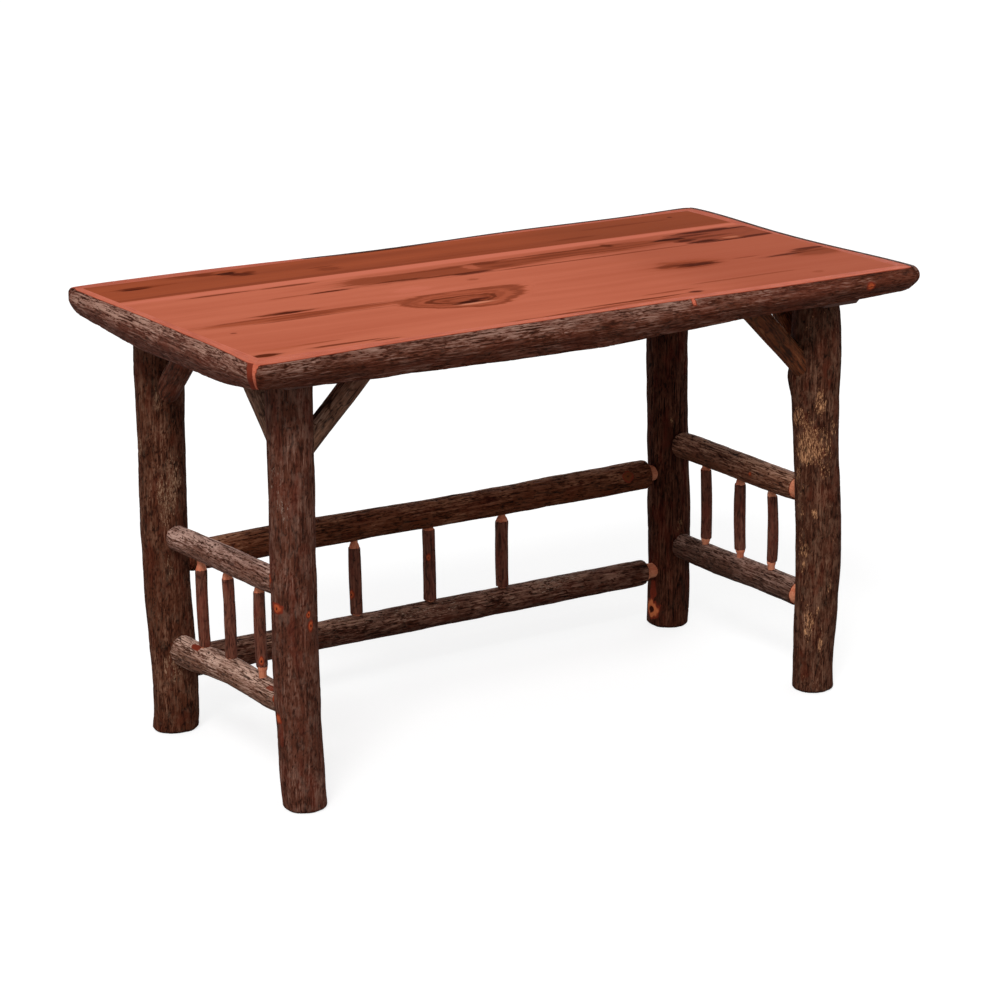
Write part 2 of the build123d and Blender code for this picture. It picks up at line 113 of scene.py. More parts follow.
def treeOf(name):
    mesh = nodes[name].data
    points = np.zeros(len(mesh.vertices) * 3)
    mesh.vertices.foreach_get("co", points)
    mesh.calc_loop_triangles()
    corners = np.zeros(len(mesh.loop_triangles) * 3, int)
    mesh.loop_triangles.foreach_get("vertices", corners)
    points = points.reshape(-1, 3)
    return points, BVHTree.FromPolygons(points.tolist(), corners.reshape(-1, 3).tolist())


def distanceIn(tree, target, direction, start):
    # how far from target, seen along direction, the surface lies; nan where nothing is hit
    hit = tree.ray_cast(Vector(target + direction * start), Vector(-direction), start)
    return start - hit[3] if hit[0] else np.nan


def closedGrid(rows, around):
    # quads between rings of points and a face over each end ring
    across = np.arange(around)
    first = np.arange(rows - 1)[:, None] * around + across
    second = np.arange(rows - 1)[:, None] * around + (across + 1) % around
    faces = np.stack([first, second, second + around, first + around], 2).reshape(-1, 4).tolist()
    faces.append(list(range(around))[::-1])
    faces.append(list(range((rows - 1) * around, rows * around)))
    return faces


creaseAngle = math.radians(45)


def addPiece(name, points, faces, layers, look):
    mesh = bpy.data.meshes.new(name + "_wood")
    low, high = np.array(cadBox[0]), np.array(cadBox[1])
    mesh.from_pydata(np.clip(points, low, high).tolist(), [], faces)
    for layerName, values in layers.items():
        flat = values.ndim == 1
        layer = mesh.attributes.new(layerName, "FLOAT" if flat else "FLOAT_VECTOR", "POINT")
        layer.data.foreach_set("value" if flat else "vector", values.astype(np.float32).ravel())
    mesh.polygons.foreach_set("use_smooth", [True] * len(mesh.polygons))
    mesh.set_sharp_from_angle(angle=creaseAngle)
    mesh.materials.append(look)
    piece = bpy.data.objects.new(name + "_wood", mesh)
    bpy.context.scene.collection.objects.link(piece)
    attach(piece, "root")
    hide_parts(name)
    return piece


# ---- shader building ----

class Wire:
    # one output of a node, so that sums of outputs are written as sums
    def __init__(self, tree, socket):
        self.tree = tree
        self.socket = socket

    def __add__(self, other):
        return maths("ADD", self, other)

    def __sub__(self, other):
        return maths("SUBTRACT", self, other)

    def __mul__(self, other):
        return maths("MULTIPLY", self, other)


def fill(sockets, values):
    # each value is a wire, a number, a vector or a colour
    for label, value in values.items():
        if isinstance(value, Wire):
            value.tree.links.new(value.socket, sockets[label])
        else:
            sockets[label].default_value = value


def node(tree, kind, values, output=0, **settings):
    made = tree.nodes.new("ShaderNode" + kind)
    for key, value in settings.items():
        setattr(made, key, value)
    fill(made.inputs, values)
    return Wire(tree, made.outputs[output])


def maths(operation, *values):
    tree = next(value.tree for value in values if isinstance(value, Wire))
    return node(tree, "Math", dict(enumerate(values)), operation=operation)


def mixColor(share, first, second):
    return node(share.tree, "Mix", {0: share, 6: first, 7: second}, 2, data_type="RGBA")


def step(value, low, high):
    ends = {"From Min": low, "From Max": high}
    return node(value.tree, "MapRange", {"Value": value, **ends}, interpolation_type="SMOOTHSTEP")


def rescale(value, low, high, fromLow=0, fromHigh=1):
    ends = {"From Min": fromLow, "From Max": fromHigh, "To Min": low, "To Max": high}
    return node(value.tree, "MapRange", {"Value": value, **ends})


def noise(vector, scale, stretch=(1, 1, 1), detail=4.0, roughness=0.55):
    mapped = node(vector.tree, "Mapping", {"Vector": vector, "Scale": stretch})
    cells = {"Scale": scale, "Detail": detail, "Roughness": roughness}
    return node(vector.tree, "TexNoise", {"Vector": mapped, **cells}, "Fac")


def partsOf(vector):
    return [node(vector.tree, "SeparateXYZ", {0: vector}, axis) for axis in "XYZ"]


def newGroup(name, inputs, outputs):
    group = bpy.data.node_groups.new(name, "ShaderNodeTree")
    kinds = {"vector": "NodeSocketVector", "color": "NodeSocketColor", "number": "NodeSocketFloat"}
    for way, sockets in (("INPUT", inputs), ("OUTPUT", outputs)):
        for kind, labels in sockets.items():
            for label in labels:
                group.interface.new_socket(label, in_out=way, socket_type=kinds[kind])
    given = group.nodes.new("NodeGroupInput").outputs
    wires = {label: Wire(group, given[label]) for labels in inputs.values() for label in labels}
    return group, wires, group.nodes.new("NodeGroupOutput").inputs


def placeGroup(tree, group, values):
    made = tree.nodes.new("ShaderNodeGroup")
    made.node_tree = group
    fill(made.inputs, values)
    return {socket.name: Wire(tree, socket) for socket in made.outputs}


def newLook(name):
    look = bpy.data.materials.new(name)
    look.use_nodes = True
    return look, look.node_tree, look.node_tree.nodes["Principled BSDF"].inputs


def bumped(height, strength, distance):
    return node(height.tree, "Bump", {"Strength": strength, "Distance": distance, "Height": height}, "Normal")


# ---- camera, light and ground ----

view = {"place": (-2.8329, -4.3163, 1.8577), "turn": -33.35, "pitch": 73.93, "lens": 112.96,
        "shift": (-0.0005, 0.0012)}
cameraData = bpy.data.cameras.new("tableCamera")
cameraData.lens = view["lens"]
cameraData.sensor_width = 36
cameraData.shift_x, cameraData.shift_y = view["shift"]
cameraData.clip_end = 60
camera = bpy.data.objects.new("tableCamera", cameraData)
camera.location = view["place"]
camera.rotation_euler = (math.radians(view["pitch"]), 0, math.radians(view["turn"]))
bpy.context.scene.collection.objects.link(camera)
bpy.context.scene.camera = camera
bpy.context.scene.view_settings.view_transform = "Standard"

light = {"sky": 0.66, "floorTone": 0.32, "floorLift": 0.77}
# each sun: strength, turns about X, Y and Z in degrees, softness in degrees
suns = {
    "keySun": (1.7, (40, -22, -20), 18),
    "fillSun": (0.25, (62, 0, -75), 40),
    "backSun": (0.45, (80, 0, 125), 30),
}
for name, (strength, turns, softness) in suns.items():
    lampData = bpy.data.lights.new(name, "SUN")
    lampData.energy = strength
    lampData.angle = math.radians(softness)
    lamp = bpy.data.objects.new(name, lampData)
    lamp.rotation_euler = [math.radians(value) for value in turns]
    bpy.context.scene.collection.objects.link(lamp)

world = bpy.data.worlds.new("studio")
bpy.context.scene.world = world
world.use_nodes = True
sky = world.node_tree
sky.nodes.clear()
skyLevel = rescale(node(sky, "LightPath", {}, "Is Camera Ray"), light["sky"], 1)
skyShine = node(sky, "Background", {"Strength": skyLevel})
fill(sky.nodes.new("ShaderNodeOutputWorld").inputs, {"Surface": skyShine})

floorHalf, floorDrop = 14, 0.0005
floorCorners = [(-floorHalf, -floorHalf, 0), (floorHalf, -floorHalf, 0), (floorHalf, floorHalf, 0),
                (-floorHalf, floorHalf, 0)]
groundMesh = bpy.data.meshes.new("ground")
groundMesh.from_pydata(floorCorners, [], [(0, 1, 2, 3)])
ground = bpy.data.objects.new("ground", groundMesh)
bpy.context.scene.collection.objects.link(ground)
ground.location.z = -floorDrop
floorLook, floorTree, floorShader = newLook("paleFloor")
floorGlow = node(floorTree, "LightPath", {}, "Is Camera Ray") * light["floorLift"]
fill(floorShader, {"Base Color": (light["floorTone"], light["floorTone"], light["floorTone"], 1),
                   "Roughness": 0.9, "Specular IOR Level": 0.1, "Emission Color": (1, 1, 1, 1),
                   "Emission Strength": floorGlow})
groundMesh.materials.append(floorLook)
print("camera, light and ground ready")


# ---- shader groups ----

# bark: dark furrows, a body colour and pale ridge tops, with blushes and crusts over them
barkGroup, barkIn, barkOut = newGroup(
    "barkTones",
    {"vector": ["Space"], "color": ["Furrow", "Body", "Ridge", "Blush", "Lichen"],
     "number": ["Relief", "Crust", "Top Light", "Ridge Amount", "Blush Amount", "Lichen Amount", "Grain",
                "Mottle"]},
    {"color": ["Color"], "number": ["Roughness", "Height"]})
space = barkIn["Space"]
grit = noise(space, 700, (1, 1, 0.13), 4, 0.65)
streak = noise(space, 300, (1, 1, 0.06), 4, 0.6)
offLine = maths("ABSOLUTE", streak - 0.5)
rough = step(offLine, 0, 0.04) * 0.3 + (grit - 0.5) * 1.9 + (streak - 0.5) * 2.3
tone = barkIn["Relief"] * 0.8 + rough * barkIn["Grain"]
shade = mixColor(step(tone, 0.2, 0.95), barkIn["Furrow"], barkIn["Body"])
# painted top light: where the bark faces up the pale ridge colour spreads wider, as if lit from above
ridgePatch = step(noise(space, 30, (1, 1, 0.4), 3), 0.36, 0.6) + barkIn["Top Light"] * 0.9
ridgeShare = step(tone + barkIn["Top Light"] * 0.28, 0.72, 1.3) * ridgePatch
strand = noise(space, 520, (1, 1, 0.05), 3, 0.6)
ridgeShare = ridgeShare * rescale(strand, 0.4, 1.15, 0.36, 0.62)
ridgeShare = maths("MINIMUM", ridgeShare * barkIn["Ridge Amount"], 0.92)
shade = mixColor(ridgeShare, shade, barkIn["Ridge"])
mottle = noise(space, 85, (1, 1, 0.5), 6, 0.7)
fleck = noise(space, 620, (1, 1, 0.45), 2, 0.5)
mottleShare = (step(mottle, 0.47, 0.62) + step(fleck, 0.68, 0.76)) * barkIn["Mottle"]
shade = mixColor(mottleShare, shade, barkIn["Ridge"])
flush = noise(space, 44, (1, 1, 0.35), 4, 0.6)
shade = mixColor(step(flush, 0.5, 0.66) * barkIn["Blush Amount"], shade, barkIn["Blush"])
crust = noise(space, 40, (1, 1, 0.5), 3, 0.6) * 0.5 + noise(space, 400, (1, 1, 0.3), 5, 0.72) * 0.9
crust = crust + barkIn["Crust"] * 0.24
crustEdge = maths("SUBTRACT", 0.92, barkIn["Lichen Amount"] * 0.08)
crustShare = step(crust, crustEdge, crustEdge + 0.06) * step(tone, 0.1, 0.6)
speck = step(noise(space, 520, (1, 1, 0.22), 5, 0.72), 0.42, 0.62)
crustTone = mixColor(speck, barkIn["Body"], barkIn["Lichen"])
shade = mixColor(crustShare * 0.9, shade, crustTone)
fill(barkOut, {"Color": shade, "Roughness": rescale(tone, 0.75, 0.48), "Height": tone})

# bare wood: long fine grain between two tones
bareGroup, bareIn, bareOut = newGroup(
    "bareGrain", {"vector": ["Space"], "color": ["Pale", "Deep"]}, {"color": ["Color"], "number": ["Height"]})
fine = noise(bareIn["Space"], 480, (1, 1, 0.05), 3, 0.6)
broad = noise(bareIn["Space"], 70, (1, 1, 0.25), 2)
bareTone = mixColor(step(fine * 0.5 + broad * 0.5, 0.38, 0.64), bareIn["Pale"], bareIn["Deep"])
fill(bareOut, {"Color": bareTone, "Height": fine})

# a spot of figure on a board: how far out a point lies in a tapering ellipse with a ragged rim
spotGroup, spotIn, spotOut = newGroup(
    "figureSpot", {"vector": ["Vector", "Place", "Reach"], "number": ["Ragged", "Taper"]},
    {"number": ["Mask", "Distance"]})
away = node(spotGroup, "VectorMath", {0: spotIn["Vector"], 1: spotIn["Place"]}, operation="SUBTRACT")
shareX, shareY, shareZ = partsOf(
    node(spotGroup, "VectorMath", {0: away, 1: spotIn["Reach"]}, operation="DIVIDE"))
taperedX = shareX * maths("SUBTRACT", 1, shareY * spotIn["Taper"])
tapered = node(spotGroup, "CombineXYZ", {"X": taperedX, "Y": shareY, "Z": shareZ})
span = node(spotGroup, "VectorMath", {0: tapered}, "Value", operation="LENGTH")
fray = noise(spotIn["Vector"], 120, (0.1, 1, 1), 5, 0.66) - 0.5
far = span + fray * (spotIn["Ragged"] * 8)
fill(spotOut, {"Mask": step(far, 1.4, 0.7) * 0.4 + step(far, 1.0, 0.65) * 0.6, "Distance": far})

# a sawn board: growth lines along X that bend round what Bend holds
boardGroup, boardIn, boardOut = newGroup(
    "boardGrain",
    {"vector": ["Vector"], "color": ["Pale", "Deep", "Line"],
     "number": ["Bend", "Bend Share", "Line Amount"]},
    {"color": ["Color"], "number": ["Roughness", "Height"]})
board = boardIn["Vector"]
boardX, boardY, boardZ = partsOf(board)
across = boardY + noise(board, 1.0, (1.6, 5, 1), 3) * 0.05
lane = node(boardGroup, "Mix", {0: boardIn["Bend Share"], 2: across, 3: boardIn["Bend"]}, data_type="FLOAT")
laneSpace = node(boardGroup, "CombineXYZ", {"X": boardX * 0.04, "Y": lane, "Z": boardZ})
lines = noise(laneSpace, 210, (1, 1, 1), 4, 0.6)
bands = noise(laneSpace, 30, (1, 1, 1), 3, 0.5)
fibre = noise(board, 800, (0.05, 1, 1), 3, 0.6)
wash = noise(board, 2.4, (1, 3, 1), 2)
boardTone = mixColor(step(bands * 0.6 + wash * 0.4, 0.32, 0.74), boardIn["Pale"], boardIn["Deep"])
boardTone = mixColor(step(lines, 0.54, 0.78) * boardIn["Line Amount"], boardTone, boardIn["Line"])
boardTone = mixColor(step(fibre, 0.5, 0.8) * 0.12, boardTone, boardIn["Line"])
fill(boardOut, {"Color": boardTone, "Roughness": rescale(lines, 0.42, 0.55),
                "Height": lines * 0.6 + fibre * 0.4})
print("shader groups ready")


# ---- log finishes ----

woodTones = {"pale": (222, 146, 112), "deep": (196, 108, 78), "innerBark": (122, 48, 31),
             "knot": (172, 78, 44), "knotHeart": (64, 24, 14)}
plainBark = {"blush": (100, 40, 26), "lichen": (176, 136, 98), "ridgeAmount": 0.6, "blushAmount": 0.3,
             "lichenAmount": 0.2, "grain": 1.0, "mottle": 0.1, "gloss": 0.03, "bump": 0.6}


def barkLook(name, tones):
    look, tree, shader = newLook(name)
    tones = {**plainBark, **tones}
    wood = {key: paint(*tone) for key, tone in {**woodTones, **tones.get("wood", {})}.items()}
    measured = {key: node(tree, "Attribute", {}, "Fac", attribute_name=key)
                for key in ("relief", "crust", "topLight", "bare", "knot")}
    space = node(tree, "Attribute", {}, "Vector", attribute_name="logSpace")
    colors = {key.title(): paint(*tones[key]) for key in ("furrow", "body", "ridge", "blush", "lichen")}
    bark = placeGroup(tree, barkGroup, {
        "Space": space, "Relief": measured["relief"], "Crust": measured["crust"],
        "Top Light": measured["topLight"], **colors, "Ridge Amount": tones["ridgeAmount"],
        "Blush Amount": tones["blushAmount"], "Lichen Amount": tones["lichenAmount"],
        "Grain": tones["grain"], "Mottle": tones["mottle"]})
    bare = placeGroup(tree, bareGroup, {"Space": space, "Pale": wood["pale"], "Deep": wood["deep"]})
    color = bark["Color"]
    for key, low, high, tone in (
            ("bare", 0.1, 0.45, wood["innerBark"]), ("bare", 0.55, 0.8, bare["Color"]),
            ("knot", 0.02, 0.2, wood["innerBark"]), ("knot", 0.3, 0.55, wood["knot"]),
            ("knot", 0.85, 1.0, wood["knotHeart"])):
        color = mixColor(step(measured[key], low, high), color, tone)
    fill(shader, {"Base Color": color, "Roughness": bark["Roughness"], "Specular IOR Level": tones["gloss"],
                  "Normal": bumped(bark["Height"], tones["bump"], 0.0006)})
    return look


# ---- bark ----

def barkRelief(space, seed, plate, stretch):
    # long plates between crossing furrows: 0 in a furrow, 1 on a plate
    angle = np.arctan2(space[:, 1], space[:, 0])
    radius = np.hypot(space[:, 0], space[:, 1])
    along = space[:, 2]
    wander = cloud(space / np.array([0.022, 0.022, 0.07]), seed + 5, 2)
    crossing = []
    for lean in (1, -1):
        turned = angle + lean * (along * 24 / stretch + wander * 0.1)
        cell = np.stack([radius * np.cos(turned), radius * np.sin(turned), along / stretch], 1) / plate
        crossing.append(np.abs(softNoise(cell + wander[:, None] * 0.35, seed + 7 * lean)))
    plates = ramp(-0.02, 0.13, np.minimum(*crossing))
    streaks = softNoise(space / np.array([1, 1, 14]) / (plate * 0.55) + wander[:, None] * 0.3, seed + 13)
    grit = cloud(space / np.array([1, 1, 8]) / (plate * 0.45), seed + 9, 2)
    breadth = cloud(space / np.array([0.02, 0.02, 0.05]), seed + 3, 2)
    return np.clip(plates * (0.62 + 0.15 * breadth) + 0.3 * np.abs(streaks) + 0.08 * grit + 0.08, 0, 1.1)


# ---- measuring and dressing logs ----

scanStep = 0.0005
rayStart = 0.1
endSlice = 0.0008  # points this near to a log's end belong to its end face
ringTurns = 40


def closeBores(angles, radii, limits=(0.0035, 0.0018, 0.0012)):
    # a ring of radii with the holes of other logs' tenons closed over
    waves = [angles * 0 + 1, np.cos(angles), np.sin(angles), np.cos(2 * angles), np.sin(2 * angles)]
    terms = np.stack(waves, 1)
    sound = radii > 0.6 * np.nanmedian(radii)
    for limit in limits:
        fit = terms @ np.linalg.lstsq(terms[sound], radii[sound], rcond=None)[0]
        sound = radii > fit - limit
    return np.where(sound, radii, fit)


def logFrame(name, direction, tenoned):
    # the straight line through a log's ends and two directions square to it
    points, tree = treeOf(name)
    axis = unit(direction)
    for _ in range(3 if tenoned else 1):
        reach = points @ axis
        first = points[reach < reach.min() + endSlice].mean(0)
        last = points[reach > reach.max() - endSlice].mean(0)
        axis = unit(last - first) if tenoned else axis
    side = unit((1, 0, 0) if abs(axis[2]) > 0.9 else np.cross((0, 0, 1), axis))
    return {"first": first, "axis": axis, "side": side, "up": np.cross(axis, side), "tree": tree,
            "points": points, "length": ((points - first) @ axis).max(),
            "angles": np.arange(ringTurns) * fullTurn / ringTurns}


def reachOf(log, place, angle):
    spoke = log["side"] * math.cos(angle) + log["up"] * math.sin(angle)
    return distanceIn(log["tree"], log["first"] + log["axis"] * place, spoke, rayStart)


def measureLog(name, direction, tenoned):
    # where the bark starts and ends, and the outline in between
    log = logFrame(name, direction, tenoned)
    scan = np.arange(scanStep, log["length"], scanStep)
    turns = np.arange(7) * fullTurn / 7
    profile = [np.nanmedian([reachOf(log, place, turn) for turn in turns]) for place in scan]
    change = np.diff(profile) / profile[:-1]
    half = len(change) // 2
    log["begin"] = scan[np.argmax(change[:half])] if tenoned else 0
    log["end"] = scan[half + np.argmin(change[half:])] + scanStep
    rows = max(6, int((log["end"] - log["begin"]) / 0.009))
    firstRow = log["begin"] + (0.001 if tenoned else 0.0055)
    log["rowPlaces"] = np.linspace(firstRow, log["end"] - 0.001, rows)
    log["rings"] = np.array([
        closeBores(log["angles"], np.array([reachOf(log, place, turn) for turn in log["angles"]]))
        for place in log["rowPlaces"]])
    return log


def spread(log, angles, places):
    # the measured rings at finer angles and places
    rings = np.stack([np.interp(angles, log["angles"], ring, period=fullTurn) for ring in log["rings"]])
    return np.stack([np.interp(places, log["rowPlaces"], column) for column in rings.T], 1)


def barkGrid(log, settings, begin, end):
    # fine angles along each ring, the grids of angles and places, and the dressed bark over them
    around = int(fullTurn * np.median(log["rings"]) / settings["around"])
    angles = np.arange(around) * fullTurn / around
    places = np.linspace(begin, end, int((end - begin) / settings["along"]))
    angleGrid, placeGrid = np.meshgrid(angles, places)
    radii, layers = dressBark(log, settings, angleGrid, placeGrid, spread(log, angles, places))
    return angles, angleGrid, placeGrid, radii, layers


def patchShare(patch, angles, places, middleRadius, lump):
    # how far each point lies from a patch: (place, degrees, size, tallness)
    place, degrees, size, tall = patch[:4]
    bend = (angles - math.radians(degrees) + math.pi) % fullTurn - math.pi
    return np.hypot((places - place) / tall, bend * middleRadius) / size + 0.22 * lump


def knotRise(away):
    # a raised ring with a hollow heart
    return np.exp(-(away * 1.3) ** 2) - 0.6 * np.exp(-(away * 4) ** 2)


def knotShare(away):
    return np.clip(1.15 - away * 0.9, 0, 1)


def dressBark(log, settings, angles, places, radii):
    # bark relief, lumps, knots and patches over a grid of radii; returns the new radii and the layers
    seed, shape = settings["seed"], radii.shape
    middleRadius = float(np.median(radii))
    space = np.stack([np.cos(angles) * radii, np.sin(angles) * radii, places], 2).reshape(-1, 3)
    relief = barkRelief(space, seed, settings["plate"], settings["stretch"]).reshape(shape)
    lump = cloud(space / np.array([0.035, 0.035, 0.06]), seed + 31, 2).reshape(shape)
    radii = radii + settings["depth"] * (relief - 0.75) + settings["lump"] * lump
    ragged = cloud(space / np.array([0.006, 0.006, 0.011]), seed + 41, 2).reshape(shape)
    knot, bare, crust = np.zeros(shape), np.zeros(shape), np.zeros(shape)
    for patch in settings.get("knots", []):
        away = patchShare(patch, angles, places, middleRadius, lump + relief - 0.5 + 1.5 * ragged)
        radii = radii + patch[4] * knotRise(away)
        knot = np.maximum(knot, knotShare(away))
    for patch in settings.get("swellings", []):
        away = patchShare(patch, angles, places, middleRadius, lump)
        radii = radii + patch[4] * np.exp(-away ** 2)
    for patch in settings.get("scraped", []):
        away = patchShare(patch, angles, places, middleRadius, lump + (relief - 0.6) * 0.8 + ragged)
        bare = np.maximum(bare, patch[4] * ramp(1.05, 0.8, away))
    for patch in settings.get("crusts", []):
        away = patchShare(patch, angles, places, middleRadius, lump + 0.5 * ragged)
        crust = np.maximum(crust, patch[4] * ramp(1.3, 0.5, away))
    # painted top light: how far each point faces up, which later paints the bark paler there as if lit from
    # above
    upturned = np.cos(angles) * log["side"][2] + np.sin(angles) * log["up"][2]
    topLight = np.clip(upturned + 0.15 * lump, 0, 1)
    return radii, {"relief": relief, "bare": bare, "knot": knot, "crust": crust, "topLight": topLight}


def assembleLog(name, log, settings, look, body, before, after):
    # body and the rings past it, each (radii, places, bare share), become one closed skin
    radii, places, layers, angles = body
    rings = before + after

    def withEnds(middle, ends):
        rows = [np.array(end + angles * 0) for end in ends]
        return np.vstack(rows[:len(before)] + [middle] + rows[len(before):])

    allRadii = withEnds(radii, [ring[0] for ring in rings])
    allPlaces = withEnds(places, [ring[1] for ring in rings])
    flatX, flatY = np.cos(angles) * allRadii, np.sin(angles) * allRadii
    points = (log["first"] + allPlaces[..., None] * log["axis"] + flatX[..., None] * log["side"]
              + flatY[..., None] * log["up"]).reshape(-1, 3)
    ends = {key: [0] * len(rings) for key in layers}
    ends["relief"] = [0.7] * len(rings)
    ends["bare"] = [ring[2] for ring in rings]
    whole = {key: withEnds(values, ends[key]).ravel() for key, values in layers.items()}
    whole["logSpace"] = np.stack([flatX, flatY, allPlaces], 2).reshape(-1, 3) + settings["seed"]
    return addPiece(name, points, closedGrid(len(allRadii), len(angles)), whole, look)


def bareEnd(edge, edgePlaces, tenon, shave, outward, final):
    # rings from the bark's edge over a shaved cone to the end of the tenon
    cone = edge.mean() * 0.91
    rings = [(edge * 0.94, edgePlaces, 0.5), (edge * 0.91, edgePlaces + outward * 0.0004, 1)]
    for share in (0.15, 0.3, 0.45, 0.6, 0.75, 0.88, 1):
        radius = tenon + (cone - tenon) * (1 - share ** 1.7) ** 0.8
        rings.append((radius, edgePlaces.mean() + outward * shave * share, 1))
    return rings + [(tenon, final - outward * 0.001, 1), (tenon * 0.92, final, 1)]


def buildTenonedLog(name, settings, look):
    log = measureLog(name, settings["direction"], True)
    tenon, shave = settings["tenon"], settings["shave"]
    over = settings["over"]  # how far the bark runs down over each bare cone
    begin, end = log["begin"] - over[0], log["end"] + over[1]
    angles, angleGrid, placeGrid, radii, layers = barkGrid(log, settings, begin, end)
    fromEdge = np.minimum(placeGrid - begin, end - placeGrid)
    radii = radii * (0.955 + 0.045 * ramp(0, settings["rounding"], fromEdge))
    nearEnd = np.sign(placeGrid - end / 2) + settings["seed"]
    rim = np.stack([np.cos(angleGrid) * 2.5, np.sin(angleGrid) * 2.5, nearEnd], 2).reshape(-1, 3)
    ragged = cloud(rim, settings["seed"], 3).reshape(radii.shape) * 0.0012
    placeGrid = placeGrid + ragged * (1 - ramp(0, 0.012, fromEdge))
    before = bareEnd(radii[0], placeGrid[0], tenon, shave - over[0], -1, 0.0005)[::-1]
    after = bareEnd(radii[-1], placeGrid[-1], tenon, shave - over[1], 1, log["length"] - 0.0005)
    return assembleLog(name, log, settings, look, (radii, placeGrid, layers, angles), before, after)


# ---- legs ----

def buildLeg(name, settings, look):
    log = measureLog(name, (0, 0, 1), False)
    end, tenon = log["end"], settings["tenon"]
    angles, angleGrid, placeGrid, radii, layers = barkGrid(log, settings, 0, end)
    rim = np.stack([np.cos(angleGrid), np.sin(angleGrid), placeGrid * 20], 2).reshape(-1, 3) * 1.6
    uneven = cloud(rim, settings["seed"] + 2, 2).reshape(radii.shape)
    radii = radii - np.clip(settings["chamfer"] * (1 + 0.4 * uneven) - placeGrid, 0, None)
    before = [(radii[0] * share, 0, 1) for share in (0.3, 0.6, 0.9)]
    after = [(tenon, end, 1), (tenon, log["length"], 1)]
    return assembleLog(name, log, settings, look, (radii, placeGrid, layers, angles), before, after)


# patches on the bark: place along the log, degrees round it, size, tallness, and rise or strength
legs = {
    "front_left_leg": {
        "seed": 11, "plate": 0.0033, "stretch": 9, "depth": 0.0013,
        "tones": {"furrow": (44, 23, 17), "body": (95, 53, 39), "ridge": (160, 126, 110), "ridgeAmount": 0.52,
                  "blush": (106, 42, 30), "blushAmount": 0.28, "lichen": (160, 136, 122),
                  "lichenAmount": 0.22, "grain": 0.66, "mottle": 0.18},
        "knots": [
            (0.342, -172, 0.0105, 0.9, 0.0025), (0.331, -96, 0.005, 1, 0.0015),
            (0.313, -90, 0.0065, 1.3, 0.0015), (0.156, -183, 0.007, 1.3, 0.0015),
            (0.385, 152, 0.008, 1.2, 0.0015)],
        "scraped": [
            (0.3, -112, 0.018, 2, 0.17), (0.13, -178, 0.008, 3, 0.25), (0.36, -110, 0.012, 1.4, 0.17)],
        "crusts": [
            (0.548, -170, 0.011, 2.2, 0.7), (0.368, -117, 0.008, 2.6, 0.7), (0.5, -150, 0.014, 2, 0.7),
            (0.354, -172, 0.01, 0.7, 0.7)],
    },
    "front_right_leg": {
        "seed": 23, "plate": 0.0034, "stretch": 9, "depth": 0.0014,
        "tones": {"furrow": (26, 13, 8), "body": (78, 43, 30), "ridge": (148, 110, 88), "ridgeAmount": 0.54,
                  "blush": (98, 38, 22), "blushAmount": 0.3, "lichen": (216, 158, 114), "lichenAmount": 0.72,
                  "grain": 0.78, "mottle": 0.26},
        "swellings": [(0.565, 150, 0.016, 1.6, 0.006)],
        "crusts": [
            (0.53, -128, 0.014, 2.4, 1), (0.5, 174, 0.012, 1.6, 0.9), (0.462, -132, 0.04, 1.1, 0.95),
            (0.44, -165, 0.022, 1.2, 0.9), (0.48, -95, 0.012, 1.8, 0.8), (0.386, 177, 0.014, 2.6, 0.7),
            (0.388, -117, 0.007, 3, 0.6), (0.33, -138, 0.008, 1.4, 0.8), (0.336, 180, 0.011, 2.2, 0.6),
            (0.283, -167, 0.014, 2.4, 0.5), (0.2, -95, 0.008, 3, 0.5), (0.42, -110, 0.016, 2.4, 0.6),
            (0.13, -150, 0.012, 3, 0.5), (0.09, -112, 0.005, 2.4, 1), (0.155, -122, 0.004, 2.4, 1),
            (0.36, -178, 0.01, 4, 0.6), (0.25, -172, 0.01, 4, 0.5)],
    },
    "back_left_leg": {
        "seed": 37, "plate": 0.0036, "stretch": 8, "depth": 0.0015,
        "tones": {"furrow": (30, 14, 9), "body": (82, 43, 28), "ridge": (152, 114, 92), "ridgeAmount": 0.5,
                  "blush": (100, 40, 26), "blushAmount": 0.25, "lichen": (164, 128, 102), "lichenAmount": 0.4,
                  "grain": 0.75, "mottle": 0.18},
        "crusts": [
            (0.462, -108, 0.022, 1.9, 1), (0.418, -122, 0.02, 2.1, 1), (0.387, -131, 0.012, 1.8, 1),
            (0.587, -137, 0.009, 3, 0.8), (0.507, 160, 0.016, 1.8, 0.8), (0.3, -125, 0.012, 2.6, 0.8),
            (0.12, -120, 0.016, 2.6, 0.8)],
    },
    "back_right_leg": {
        # partly painted shade: these dark tones hold this leg's own darker bark and also the shade it stands
        # in under the table
        "seed": 41, "plate": 0.0042, "stretch": 18, "depth": 0.0018,
        "tones": {"furrow": (16, 7, 5), "body": (67, 32, 21), "ridge": (134, 90, 68), "ridgeAmount": 0.45,
                  "blush": (94, 30, 19), "blushAmount": 0.35, "lichenAmount": 0.25, "grain": 0.9,
                  "mottle": 0.12, "wood": {"knot": (204, 112, 70)}},
        "knots": [(0.034, -176, 0.015, 1.2, 0.003)],
        "scraped": [(0.068, -176, 0.009, 2.2, 0.4)],
        "crusts": [
            (0.4, -116, 0.012, 1.2, 0.6), (0.34, -108, 0.007, 2.5, 0.6), (0.2, -96, 0.007, 2.6, 0.6)],
    },
}
for name, settings in legs.items():
    settings.update({"chamfer": 0.0045, "tenon": 0.019, "lump": 0.0012, "around": 0.0014, "along": 0.0024})
    buildLeg(name, settings, barkLook(name + "Bark", settings["tones"]))
print("legs ready")


# ---- rails ----

